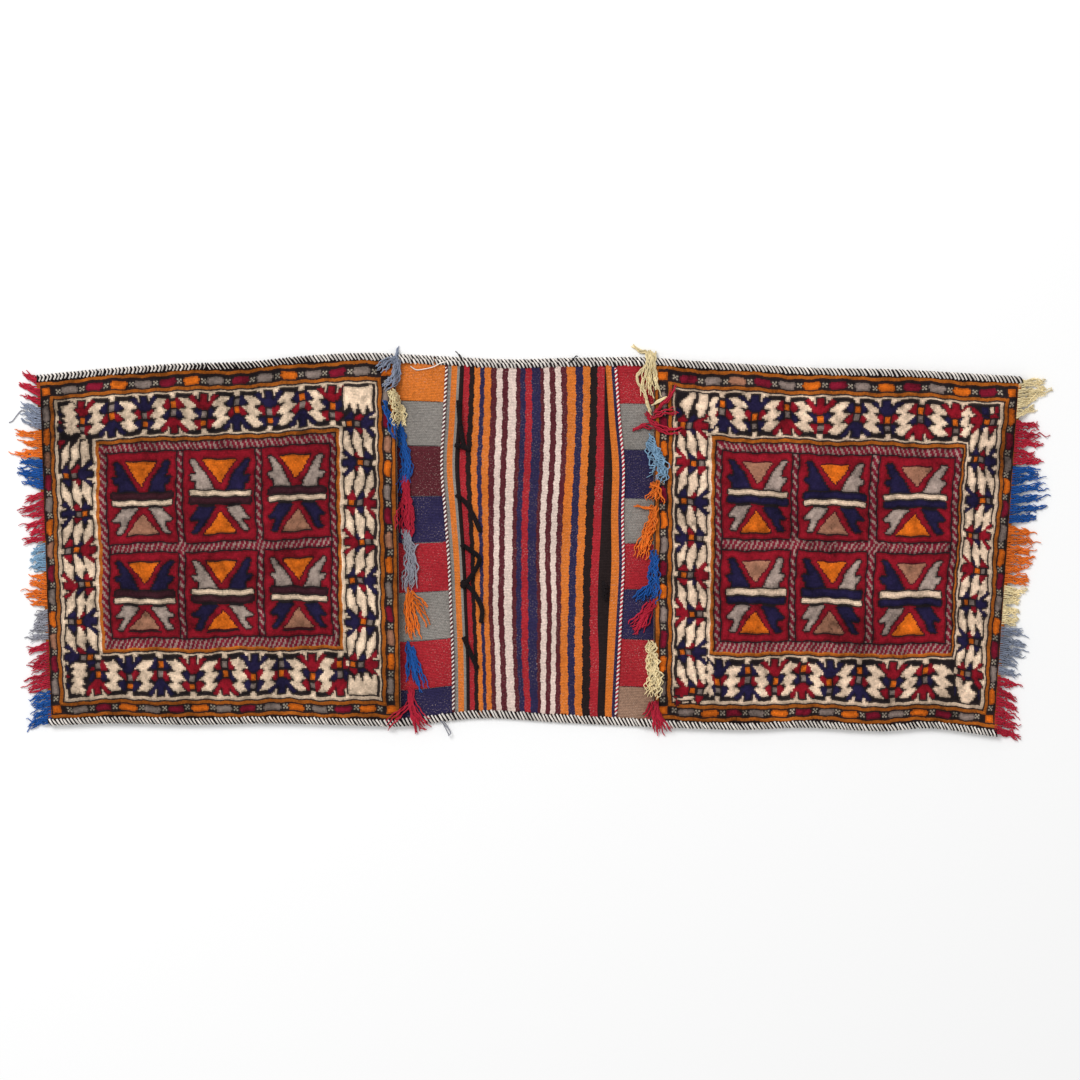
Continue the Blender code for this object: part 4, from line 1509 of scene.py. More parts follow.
    def dress(self, mesh: bpy.types.Mesh) -> None:
        """Colours the knots and lays the panel down with its tufts.

        Args:
            mesh: The panel, flat, with its knots marked by a Z of 1.
        """
        chart = self.chart
        flat = vectors(mesh.vertices, "co")
        along, across, layer = vectors(mesh.polygons, "center").T
        chance = np.random.default_rng(self.seed + self.side.value)
        knotted = layer > 0.99
        columns, rows = line_at(chart.columns[1:], along), line_at(chart.rows[1:], across)
        colours = self.tones(chance)[columns, rows]
        colours = np.where(knotted[:, None], colours, np.array(Dye.UNDYED.value))
        paint_faces(mesh, np.clip(colours, 0.002, 1.0))
        keep_cloth_coordinates(mesh, flat)
        along, across, layer = flat.T
        upper = layer > 0.5
        inner = np.minimum(
            np.minimum(along - chart.columns[0], chart.columns[-1] - along),
            np.minimum(across - chart.rows[0], chart.rows[-1] - across),
        )
        free = ease(inner / self.held_rim) * upper
        turn = self.side.value
        creep_x = 0.0013 * np.sin(along * 61 + 3) * np.sin(across * 47 + turn)
        creep_x += 0.0007 * np.sin(across * 205 + along * 37 + turn)
        creep_y = 0.0014 * np.sin(along * 53 + 1) * np.sin(across * 39 + 2 * turn)
        creep_y += 0.0007 * np.sin(along * 214 + across * 29 + 2 * turn)
        shift = self.tuft_shift * chance.standard_normal((2, len(along)))
        x, y = LAY.place(along + free * (creep_x + shift[0]), across + free * (creep_y + shift[1]))
        columns = line_at(chart.columns, along - ROUNDING)
        rows = line_at(chart.rows, across - ROUNDING)
        swell = np.sin(along * 29 + across * 17) * np.sin(across * 33 - along * 11)
        top = LAY.panel_top(along, across)
        top = top + free * self.relief_height * self.relief()[columns, rows]
        top = top + free * self.tuft_height * chance.standard_normal(len(along))
        top = top + free * self.swell_height * swell
        height = np.where(upper, top, LAY.panel_under(along, across))
        lay_down(mesh, x, y, height, knotted)


# The stripes of the bridge from the left and the slit blocks from the top, with the width of
# each before it is fitted.
STRIPES = (
    ("GREY", 5), ("ORANGE", 8), ("GREY", 3.5), ("BLACK", 6), ("RED", 8), ("BLACK", 7),
    ("ORANGE", 8), ("NAVY", 6), ("ORANGE", 9), ("MAROON", 8), ("IVORY", 8), ("MAROON", 8),
    ("IVORY", 11), ("MAROON", 6), ("NAVY", 7), ("RED", 9), ("NAVY", 12), ("MAROON", 5),
    ("IVORY", 8), ("MAROON", 8), ("IVORY", 8), ("MAROON", 8), ("ORANGE", 12), ("NAVY", 10),
    ("ORANGE", 10), ("BLACK", 10), ("RED", 10), ("BLACK", 3), ("ORANGE", 8), ("NAVY", 4),
)
BLOCKS = {
    Side.LEFT: (
        ("ORANGE", 60), ("GREY", 60), ("MAROON", 68), ("NAVY", 63),
        ("RED", 67), ("GREY", 65), ("RED", 65), ("NAVY", 45),
    ),
    Side.RIGHT: (
        ("RED", 60), ("GREY", 62), ("NAVY", 66), ("GREY", 60),
        ("RED", 62), ("NAVY", 67), ("RED", 64), ("TAN", 50),
    ),
}
# Which slits of a side gape, counted from the top.
OPEN_SLITS = {Side.LEFT: (4, 5), Side.RIGHT: (3,)}


@dataclass
class FlatStrip:
    """The flat-woven strip: the pouch backs, the slit bands and the striped bridge."""

    finishes: Finishes
    slit: float = 0.0008
    open_slit: float = 0.0013
    slit_margin: float = 0.004
    twined_width: float = 0.004
    cell: float = 0.0045
    row: float = 0.0019
    least_cell: float = 0.0002
    serration: float = 0.00042
    wavers: tuple[tuple[float, float, float], ...] = ((0.00055, 0.0230, 7), (0.00035, 0.0087, 13))
    uneven_reach: float = 0.092
    back_cell: float = 0.0160
    undulation: float = 0.00035
    seed: int = SEED

    def band(self, side: Side) -> tuple[float, float]:
        """The lower and upper end along the bag of a side's band of slit blocks."""
        twined = LAY.twined[0 if side is Side.LEFT else 1] + side.value * self.twined_width / 2
        return tuple(sorted((side.value * LAY.mouth, twined)))

    def stripe_lines(self) -> list[tuple[float, float, Dye]]:
        """The stripes as (start, end, dye), which fill the bridge between the twined lines."""
        half = self.twined_width / 2
        return self.coloured(STRIPES, LAY.twined[0] + half, LAY.twined[1] - half)

    def blocks(self, side: Side) -> list[tuple[float, float, Dye]]:
        """The slit blocks of one band as (lower side, upper side, dye), from the top down."""
        return self.coloured(BLOCKS[side], LAY.cloth_half_width, -LAY.cloth_half_width)

    @staticmethod
    def coloured(
        table: tuple[tuple[str, float], ...], start: float, end: float
    ) -> list[tuple[float, float, Dye]]:
        """Fits rows of (colour, width) between two lines, as (lower edge, upper edge, dye)."""
        edges = fitted([width for _, width in table], start, end)
        return [(*sorted(pair), Dye[f"STRIPE_{name}"]) for pair, (name, _) in zip(edges, table)]

    def slits(self, side: Side) -> Points:
        """Finds the slits between a side's blocks.

        Args:
            side: The pouch.

        Returns:
            The lower and the upper edge of each slit, from the top down.
        """
        found = []
        for number, (_, upper, _) in enumerate(self.blocks(side)[1:], 1):
            half = (self.open_slit if number in OPEN_SLITS[side] else self.slit) / 2
            found.append((upper - half, upper + half))
        return found

    def lines(self) -> tuple[Array, Array]:
        """The lines of the strip's grid, with one at each edge of a colour or a slit.

        Returns:
            The lines along the bag and the lines across it.
        """
        marks = {-LAY.half_length, -LAY.mouth, LAY.mouth, LAY.half_length}
        for side in Side:
            twined = LAY.twined[0 if side is Side.LEFT else 1]
            marks |= {twined - self.twined_width / 2, twined + self.twined_width / 2}
            near, far = self.band(side)
            marks |= {near + self.slit_margin, far - self.slit_margin}
        marks |= {start for start, _, _ in self.stripe_lines()}
        for pleat in LAY.pleats:
            crest = pleat + LAY.pleat_width / 2
            marks |= {pleat - LAY.pleat_width / 2, crest, crest + LAY.pleat_width / 10}
        rises = {-LAY.cloth_half_width, LAY.cloth_half_width}
        for side in Side:
            rises |= {edge for slit in self.slits(side) for edge in slit}
        for inwards in (0, LAY.lift_run / 2, LAY.lift_run):
            place = LAY.free_half_width - inwards
            rises |= {-place, place}
        return self.filled(marks, True), self.filled(rises, False)

    def filled(self, marks: set[float], lengthwise: bool) -> Array:
        """Adds lines between marks that are far apart.

        Args:
            marks: Where there must be a line.
            lengthwise: Whether they are places along the bag, where the backs need fewer.

        Returns:
            All the lines, rising.
        """
        marks = sorted(marks)
        lines = [marks[0]]
        for start, end in zip(marks, marks[1:]):
            if end - start < self.least_cell:
                continue
            back = abs((start + end) / 2) > LAY.mouth
            cell = (self.back_cell if back else self.cell) if lengthwise else self.row
            count = max(1, round((end - start) / cell))
            lines += [start + (end - start) * (step + 1) / count for step in range(count)]
        return np.array(lines)

    def colour_at(self, along: Array, across: Array) -> Array:
        """The dyes of the flat weave.

        Args:
            along: Cloth coordinates along the bag.
            across: Cloth coordinates across it.

        Returns:
            Linear RGB for each place.
        """
        colours = np.tile(np.array(Dye.STRIPE_MAROON.value), (len(along), 1))
        for start, end, dye in self.stripe_lines():
            colours[(along > start) & (along < end)] = dye.value
        for twined in LAY.twined:
            colours[np.abs(along - twined) < self.twined_width / 2] = Dye.STRIPE_MAROON.value
        for side in Side:
            near, far = self.band(side)
            band = (along > near) & (along < far)
            for lower, upper, dye in self.blocks(side):
                colours[band & (across > lower) & (across < upper)] = dye.value
        return colours

    def slit_faces(self, centres: Array) -> Array:
        """Finds the faces that lie in a slit.

        Args:
            centres: The middle of each face.

        Returns:
            Whether each lies in one.
        """
        along, across = centres[:, 0], centres[:, 1]
        hit = np.zeros(len(centres), dtype=bool)
        for side in Side:
            near, far = self.band(side)
            within = (along > near + self.slit_margin) & (along < far - self.slit_margin)
            for low, high in self.slits(side):
                hit |= within & (across > low) & (across < high)
        return hit

    def make(self) -> bpy.types.Object:
        """Builds the strip.

        Returns:
            The strip as one closed cloth with its slits open.
        """
        columns, rows = self.lines()
        body = bmesh.new()
        grid(body, columns, rows, 0.0)
        body.faces.ensure_lookup_table()
        centres = np.array([face.calc_center_median() for face in body.faces])
        cut = self.slit_faces(centres)
        gone = [face for face, slit in zip(body.faces, cut) if slit]
        bmesh.ops.delete(body, geom=gone, context="FACES")
        raised = bmesh.ops.extrude_face_region(body, geom=body.faces[:], use_keep_orig=True)
        lifted = [item for item in raised["geom"] if isinstance(item, bmesh.types.BMVert)]
        bmesh.ops.translate(body, verts=lifted, vec=(0, 0, 1))
        bmesh.ops.recalc_face_normals(body, faces=body.faces[:])
        body.faces.index_update()
        body.faces.sort(key=self.order)
        mesh = mesh_of("striped_strip", body)
        self.dress(mesh)
        return piece_from_mesh(
            "striped_strip", mesh, self.finishes.get(WEAVE), "flat_weave", "woven_strip"
        )

    @staticmethod
    def order(face: bmesh.types.BMFace) -> float:
        """A face's own number or, for a wall between the cloth's sides, a later one by its place."""
        middle = face.calc_center_median()
        return 1e6 * (2 + middle.x) + middle.y if 0.1 < middle.z < 0.9 else face.index

    def dress(self, mesh: bpy.types.Mesh) -> None:
        """Colours the cloth and lays it down.

        Args:
            mesh: The cloth, flat, with its upper face marked by a Z of 1.
        """
        flat = vectors(mesh.vertices, "co")
        along, across, _ = vectors(mesh.polygons, "center").T
        chance = np.random.default_rng(self.seed)
        colours = self.colour_at(along, across)
        worn = 1 + 0.07 * np.sin(along * 71 + 1) * np.sin(across * 43 + along * 19)
        colours = colours * (worn + 0.05 * chance.standard_normal(len(colours)))[:, None]
        paint_faces(mesh, np.clip(colours, 0.002, 1.0))
        keep_cloth_coordinates(mesh, flat)
        along, across, layer = flat.T
        free = 1 - LAY.settle(across)
        wave = 0.5 + 0.5 * np.sin(along * 83 + 2.0) * np.sin(across * 57 + along * 21)
        wave = wave * self.undulation * free
        rows = np.unique(across)
        odd = np.searchsorted(rows, across) % 2
        middle = (LAY.twined[0] + LAY.twined[1]) / 2
        inside = np.abs(along - middle) < self.uneven_reach
        teeth = self.serration * (odd - 0.5) * 2 * inside * free
        waver = np.zeros_like(along)
        for size, length, slope in self.wavers:
            waver += size * np.sin(2 * math.pi * (across / length + along * slope))
        along = along + teeth + waver * inside
        x, y = LAY.place(along + LAY.drift(along, across), across)
        upper = layer > 0.5
        top = LAY.strip_top(along, across) + wave
        height = np.where(upper, top, LAY.strip_under(across))
        lay_down(mesh, x, y, height, np.ones(len(mesh.polygons), dtype=bool))


@dataclass
class OvercastEdge:
    """The black and white overcast yarn round one long side."""

    finishes: Finishes
    name: str
    sign: int
    pitch: float = 0.0026
    radius: float = 0.0014
    slant: float = 0.0065
    step_run: float = 0.020
    step_end: float = 0.012
    bend_start: float = -0.44
    jitter: float = 0.0004
    width_jitter: float = 0.0006
    lean_jitter: float = 0.12
    white_scale: float = 1.12
    sparse_scale: float = 0.62
    sparse: tuple[float, float] = (-0.47, -0.30)
    seed: int = SEED

    def layers(self, along: float) -> float:
        """Finds how thick the cloths are that the yarn holds.

        Args:
            along: A place along the bag.

        Returns:
            The height of the uppermost one, which steps up shortly before each mouth.
        """
        start = LAY.mouth - self.step_end - self.step_run
        step = float(ease((abs(along) - start) / self.step_run))
        return LAY.edge_lift + LAY.strip + (LAY.clearance + LAY.pile_edge) * step

    def stitch(self, along: float, inner: float, outer: bool, lean: float) -> Array:
        """The points of one stitch.

        Args:
            along: Its place along the bag.
            inner: How far in from the side it starts.
            outer: Whether it goes on round the side and under the cloth.
            lean: How far it runs along the bag on its way out.

        Returns:
            Its points in the frame.
        """
        top = self.layers(along) + 0.6 * self.radius
        if outer:
            shares = np.array([0.0, 0.3, 0.6, 0.85, 0.95, 1.0, 1.1])
            ins = np.array([inner, inner * 0.72, inner * 0.42, 0.0024, 0.0013, 0.0022, 0.0060])
            over = [top - 0.0006, top + 0.0005, top + 0.0006, top - 0.0007]
            highs = np.array([*over, top * 0.5 + 0.0004, 0.0016, 0.0014])
        else:
            shares = np.linspace(0.0, 1.0, 5)
            ins = inner * np.array([1.0, 0.88, 0.70, 0.52, 0.42])
            highs = top + np.array([-0.0008, 0.0003, 0.0006, 0.0004, -0.0002])
        bends = self.sign > 0 and along < self.bend_start
        alongs = along + lean * (1.1 * np.abs(shares - 0.5) - 0.3 if bends else shares - 0.5)
        alongs = np.clip(alongs, -LAY.half_length, LAY.half_length)
        x, y = LAY.place(alongs, self.sign * (LAY.half_width - ins))
        return np.stack([x, y, highs], axis=1)

    def make(self) -> list[bpy.types.Object]:
        """Builds the black stitches and the white ones.

        Returns:
            The two pieces.
        """
        chance = np.random.default_rng(self.seed + self.sign)
        count = round(LAY.length / self.pitch)
        routes: dict[Dye, list[Array]] = {Dye.BLACK: [], Dye.YARN_WHITE: []}
        for number in range(count):
            along = -LAY.half_length + LAY.length * (number + 0.5) / count
            along += self.jitter * chance.standard_normal()
            dye = Dye.YARN_WHITE if number % 2 else Dye.BLACK
            wide = LAY.binding_width - 0.001 + self.width_jitter * chance.standard_normal()
            lean = self.sign * -self.slant * (1 + self.lean_jitter * chance.standard_normal())
            in_two_rows = self.sign > 0 and abs(along) < LAY.mouth - 0.002
            if in_two_rows:
                routes[dye].append(self.stitch(along, wide, False, lean * 0.6))
                routes[dye].append(self.stitch(along - lean * 0.2, wide * 0.60, True, lean * 0.7))
            else:
                reach = 0.95 if abs(along) < LAY.mouth else 0.80
                routes[dye].append(self.stitch(along, wide * reach, True, lean))
        pieces = []
        for dye, group in routes.items():
            white = dye is Dye.YARN_WHITE
            radii = []
            for route in group:
                sparse = self.sign > 0 and self.sparse[0] < route[0, 0] < self.sparse[1]
                scale = (self.sparse_scale if sparse else self.white_scale) if white else 1.0
                thick = self.radius * chance.uniform(0.82, 1.05) * scale
                radii.append(np.full(len(route), thick))
            name = f"overcast_{self.name}_{'white' if white else 'black'}"
            finish = self.finishes.yarn(dye)
            node = f"edge_binding_{self.name}"
            pieces.append(yarns(name, group, radii, finish, "overcast_edge", node))
        return pieces


@dataclass(frozen=True)
class EndBunch:
    """A bunch at an outer end, from its width to its curl in millimetres.

    rise is how far its tips point up the picture, and loops whether some strands turn back.
    """

    colour: str
    width: float
    reach: float
    rise: float
    curl: float
    loops: bool = False


@dataclass(frozen=True)
class Spray:
    """Strands that run together along the mouth.

    path is their middle in the frame, spread half their width at the tips, count their
    number and curl how far each one strays, with lengths in millimetres.
    """

    path: Points
    spread: float
    count: int
    curl: float = 1.4


END_BUNCHES = {
    Side.LEFT: (
        EndBunch("red", 45, 28, 11, 0.8),
        EndBunch("grey_blue", 35, 28, 10, 1.3),
        EndBunch("orange", 42, 37, 3, 1.1),
        EndBunch("blue", 48, 35, 2, 1.4),
        EndBunch("red", 77, 31, -8, 0.8),
        EndBunch("light_blue", 45, 24, -3, 1.5),
        EndBunch("orange", 53, 29, 1, 1.3),
        EndBunch("grey", 49, 25, -5, 1.6),
        EndBunch("red", 73, 30, -10, 0.9),
        EndBunch("blue", 52, 28, -8, 1.5),
    ),
    Side.RIGHT: (
        EndBunch("cream", 63, 34, 6, 1.3, True),
        EndBunch("red", 70, 38, -3, 1.7),
        EndBunch("blue", 91, 41, 2, 1.3, True),
        EndBunch("orange", 91, 35, -3, 1.4, True),
        EndBunch("cream", 63, 26, -1, 1.2, True),
        EndBunch("grey_blue", 77, 32, -6, 1.4),
        EndBunch("red", 91, 34, -11, 1.6),
    ),
}
# Of each mouth's bunches the colour and its sprays, from the top, in millimetres.
MOUTH_BUNCHES: dict[Side, tuple] = {
    Side.LEFT: (
        ("grey_blue",
         (((-178, 244), (-180, 258), (-179, 278)), 2, 4, 0.6),
         (((-178, 254), (-190, 253), (-202, 244), (-209, 237)), 6, 9),
         (((-180, 258), (-181, 236), (-188, 222), (-200, 214)), 8.5, 15)),
        ("cream",
         (((-190, 211), (-182, 196), (-177, 179), (-177, 157)), 8.5, 20, 2.4)),
        ("blue",
         (((-199, 197), (-192, 172), (-184, 150), (-178, 140)), 5, 8),
         (((-178, 168), (-172, 135), (-167, 100), (-178, 66)), 7, 16)),
        ("red",
         (((-170, 94), (-167, 64), (-163, 36), (-165, 4)), 8.5, 22),
         (((-172, 60), (-176, 36), (-178, 10)), 5, 6)),
        ("grey",
         (((-170, 18), (-163, -10), (-161, -42), (-166, -72)), 8, 22),
         (((-168, -12), (-158, -10), (-149, -2)), 1.5, 3, 0.6)),
        ("orange",
         (((-164, -64), (-165, -90), (-162, -113), (-158, -139)), 7, 15, 0.8),
         (((-162, -70), (-146, -85), (-134, -99)), 5, 5, 0.8),
         (((-162, -78), (-144, -104), (-135, -124)), 5, 5, 0.8)),
        ("blue",
         (((-165, -138), (-158, -164), (-151, -188), (-143, -209)), 6.5, 14, 0.9),
         (((-165, -146), (-162, -172), (-160, -198)), 6.5, 10, 0.9)),
        ("red",
         (((-164, -204), (-162, -226), (-180, -244), (-196, -260)), 3.5, 6, 0.7),
         (((-162, -206), (-160, -230), (-148, -250), (-135, -262)), 6, 10, 0.7),
         (((-164, -210), (-161, -236), (-155, -256), (-152, -272)), 6, 9, 0.7)),
    ),
    Side.RIGHT: (
        ("cream",
         (((175, 268), (174, 246), (172, 222), (175, 198)), 11, 16, 0.9),
         (((172, 264), (157, 268), (144, 279)), 3.5, 6, 0.8),
         (((168, 246), (156, 229), (166, 209), (174, 184), (178, 164)), 2, 5, 0.8),
         (((176, 190), (190, 198), (207, 203)), 1.2, 3, 0.6)),
        ("red",
         (((178, 180), (194, 194), (211, 218)), 3, 6, 0.8),
         (((174, 172), (194, 180), (214, 181)), 4.5, 7, 1.2),
         (((170, 182), (178, 166), (200, 154), (220, 157)), 5, 8, 1.2),
         (((149, 155), (166, 161), (182, 158)), 3, 6, 0.8)),
        ("light_blue",
         (((172, 144), (180, 122), (189, 104), (186, 82)), 8.5, 18, 2.8),
         (((171, 150), (178, 138), (184, 120)), 3, 5, 1.2)),
        ("orange",
         (((176, 82), (182, 68), (179, 52)), 11, 14, 2.4),
         (((150, 50), (166, 47), (181, 46)), 1.8, 4, 0.6),
         (((181, 50), (175, 22), (167, 0), (159, -30)), 7.5, 18, 1.4)),
        ("blue",
         (((181, -12), (179, -38), (179, -64), (174, -88)), 7.5, 18, 1.8),
         (((174, -62), (161, -74), (152, -83)), 4.5, 7, 1.2)),
        ("red",
         (((180, -82), (171, -99), (160, -117), (151, -130)), 8.5, 22, 1.3)),
        ("cream",
         (((174, -138), (177, -168), (180, -196), (174, -222)), 8, 22, 2.4)),
        ("red",
         (((180, -222), (180, -246), (184, -266), (186, -274)), 5, 12, 0.7),
         (((182, -224), (186, -244), (196, -258), (204, -268)), 4.5, 8, 0.7),
         (((176, -224), (172, -240), (164, -246)), 4.5, 6, 0.7)),
    ),
}


@dataclass
class YarnFringe:
    """The yarn bunches of one side: those at its outer end and those at its mouth."""

    side: Side
    finishes: Finishes
    strand_radius: float = 0.00105
    strand_pitch: float = 0.0028
    lock_width: float = 0.0135
    lock_stray: float = 0.0018
    strand_stray: float = 0.0030
    root_gap: float = 0.0010
    rooted: float = 0.0040
    loop_width: float = 0.0032
    on_binding: float = 0.0085
    step: float = 0.0032
    twist: float = 0.0071
    seed: int = SEED
    chance: np.random.Generator = field(init=False)

    def __post_init__(self) -> None:
        """Seeds the strands."""
        self.chance = np.random.default_rng(self.seed + 5 * self.side.value)

    def sway(self, length: Array, curl: float) -> Array:
        """A strand's own waves.

        Args:
            length: Distances along the strand.
            curl: How far it strays.

        Returns:
            How far it is off its course at each distance.
        """
        chance = self.chance
        long_wave = np.sin(2 * math.pi * (length / chance.uniform(0.020, 0.034) + chance.random()))
        short_wave = np.sin(2 * math.pi * (length / chance.uniform(0.009, 0.014) + chance.random()))
        return curl * (1.1 * long_wave + 0.75 * short_wave)

    def radii(self, count: int) -> Array:
        """Draws a strand's thickness, with the bulges of its plies and a worn tip.

        Args:
            count: How many points it has.

        Returns:
            Its radius at each.
        """
        thick = self.strand_radius * self.chance.uniform(0.75, 1.15)
        place = np.arange(count) * self.step
        plies = 1 + 0.14 * np.sin(2 * math.pi * (place / self.twist + self.chance.random()))
        worn = np.interp(np.linspace(0, 1, count), (0, 0.75, 1.0), (1.0, 0.95, 0.55))
        return thick * plies * worn

    def end_strand(
        self, bunch: EndBunch, root: float, tip: float, reach: float, layer: int
    ) -> Array:
        """Draws a strand that stands out of the outer end and settles on the floor.

        Args:
            bunch: The bunch that it is in.
            root: Its place across the bag at the end.
            tip: Its place across the bag at its tip.
            reach: How far out it goes.
            layer: 0 for the strands that lie lowest.

        Returns:
            Its points in the frame.
        """
        length = math.hypot(reach, tip - root) + self.rooted
        share = np.linspace(0, 1, max(6, round(length / self.step)))
        loosened, curl = ease(share * 2.2), MM * bunch.curl
        across = root + (tip - root) * share**1.2 + self.sway(share * length, curl) * loosened
        out = reach * share - self.rooted + 0.6 * self.sway(share * length, curl) * loosened
        start = 0.0070 - 0.0022 * layer
        height = self.strand_radius + start * (1 - ease(share * 1.4)) + 0.0012 * layer * (1 - share)
        height = height + 0.0014 * np.abs(self.sway(share * length, 1.0)) * loosened
        height = np.maximum(height, self.strand_radius)
        x, y = LAY.place(np.full_like(across, self.side.value * LAY.half_length), across)
        return np.stack([x + self.side.value * out, y, height], axis=1)

    def make_end(self) -> list[bpy.types.Object]:
        """Builds the bunches of the outer end.

        Returns:
            The bunches, from the top down.
        """
        table = END_BUNCHES[self.side]
        top = LAY.cloth_half_width
        edges = fitted([bunch.width for bunch in table], top, -top)
        pieces = []
        for number, (bunch, (upper, lower)) in enumerate(zip(table, edges), 1):
            wide = upper - lower
            locks = max(3, round(wide / self.lock_width))
            middles = lower + wide * (np.arange(locks) + 0.5) / locks + MM * bunch.rise
            tips = middles + self.chance.normal(0, self.lock_stray, locks)
            reaches = MM * bunch.reach * self.chance.uniform(0.74, 1.16, locks)
            count = round(wide / self.strand_pitch)
            routes = []
            for layer in (0, 1):
                for strand in range(count):
                    share = (strand + self.chance.uniform(0.25, 0.75)) / count
                    lock = min(int(share * locks), locks - 1)
                    root = lower + self.root_gap + (wide - 2 * self.root_gap) * share
                    tip = tips[lock] + self.chance.normal(0, self.strand_stray)
                    reach = reaches[lock] * self.chance.uniform(0.72, 1.05)
                    reach *= 1.30 if self.chance.random() < 0.10 else 1.0
                    route = self.end_strand(bunch, root, tip, reach, layer)
                    routes.append(self.looped(route) if bunch.loops and strand % 3 == 0 else route)
            node = f"fringe_{self.side.word}_end_{number:02d}_{bunch.colour}"
            pieces.append(self.bunch(node, bunch.colour, routes))
        return pieces

    def looped(self, route: Array) -> Array:
        """Turns a strand back at its tip, so that it makes a small loop.

        Args:
            route: The strand's points.

        Returns:
            The points with those of the loop after them.
        """
        count = max(4, len(route) // 3)
        back = route[-1 : -count - 1 : -1].copy()
        turn = np.linspace(0, 1, count)
        back[:, 1] += self.loop_width * np.sin(np.pi * np.clip(turn * 1.5, 0, 0.5))
        back[:, 2] += 0.0012
        return np.concatenate([route, back[1:]])

    def spray(self, spray: Spray) -> list[Array]:
        """Draws the strands of one spray, each with its own waves, on top of the cloth.

        Args:
            spray: The spray.

        Returns:
            The points of each strand.
        """
        chance, curl = self.chance, MM * spray.curl
        x, y = along_handles(spray.path, 60)
        steps = np.hypot(np.diff(x), np.diff(y))
        length = np.concatenate([[0], np.cumsum(steps)])
        routes = []
        locks = max(2, round(spray.count / 5))
        lock_sides = np.linspace(-1, 1, locks)
        for number in range(spray.count):
            lock = number % locks
            side = lock_sides[lock] * 0.65 + chance.normal(0, 0.42)
            begin = length[-1] * chance.uniform(0.0, 0.16)
            end = length[-1] * chance.uniform(0.80, 1.04)
            place = np.arange(begin, end, self.step)
            share = place / length[-1]
            past = np.maximum(place - length[-1], 0) / steps[-1]
            centre_x = np.interp(place, length, x) + (x[-1] - x[-2]) * past
            centre_y = np.interp(place, length, y) + (y[-1] - y[-2]) * past
            ahead_x, ahead_y = np.gradient(centre_x), np.gradient(centre_y)
            norm = np.hypot(ahead_x, ahead_y)
            off = MM * spray.spread * side * (0.45 + 0.55 * ease(share)) + self.sway(place, curl)
            route_x = centre_x - ahead_y / norm * off
            route_y = centre_y + ahead_x / norm * off
            seat = self.seat(route_x, route_y)
            heaped = 0.35 + 0.65 * np.sin(np.pi * np.clip(share, 0, 1))
            layer = chance.uniform(0.0, 0.0040) * heaped
            height = seat + self.strand_radius + layer + 0.7 * np.abs(self.sway(place, curl))
            routes.append(np.stack([route_x, route_y, height], axis=1))
        return routes

    def seat(self, x: Array, y: Array) -> Array:
        """Finds the height of what a strand lies on, rounded where it goes over an edge.

        Args:
            x: The strand's X in the frame.
            y: Its Y.

        Returns:
            The height under each point.
        """
        along, across = LAY.flat(x, y)
        on_cloth = np.abs(across) < LAY.half_width
        on_binding = on_cloth & (np.abs(across) > LAY.free_half_width - 0.001)
        top = np.where(on_cloth, LAY.top_at(x, y), 0.0)
        top = np.where(on_binding, np.maximum(top, self.on_binding), top)
        return np.maximum(evened(top), top)

    def make_mouth(self) -> list[bpy.types.Object]:
        """Builds the bunches along the mouth.

        Returns:
            The bunches, from the top down.
        """
        pieces = []
        for number, (colour, *sprays) in enumerate(MOUTH_BUNCHES[self.side], 1):
            routes = [route for spray in sprays for route in self.spray(Spray(*spray))]
            node = f"fringe_{self.side.word}_mouth_{number:02d}_{colour}"
            pieces.append(self.bunch(node, colour, routes))
        return pieces

    def bunch(self, node: str, colour: str, routes: list[Array]) -> bpy.types.Object:
        """Makes one bunch of its strands and gives it its solid's place.

        Args:
            node: The solid.
            colour: The name of its dye.
            routes: The points of each strand.

        Returns:
            The bunch.
        """
        radii = [self.radii(len(route)) for route in routes]
        material = self.finishes.yarn(Dye[f"YARN_{colour.upper()}"])
        name = node.replace("fringe", "yarn")
        return yarns(name, routes, radii, material, f"{colour}_yarn", node)


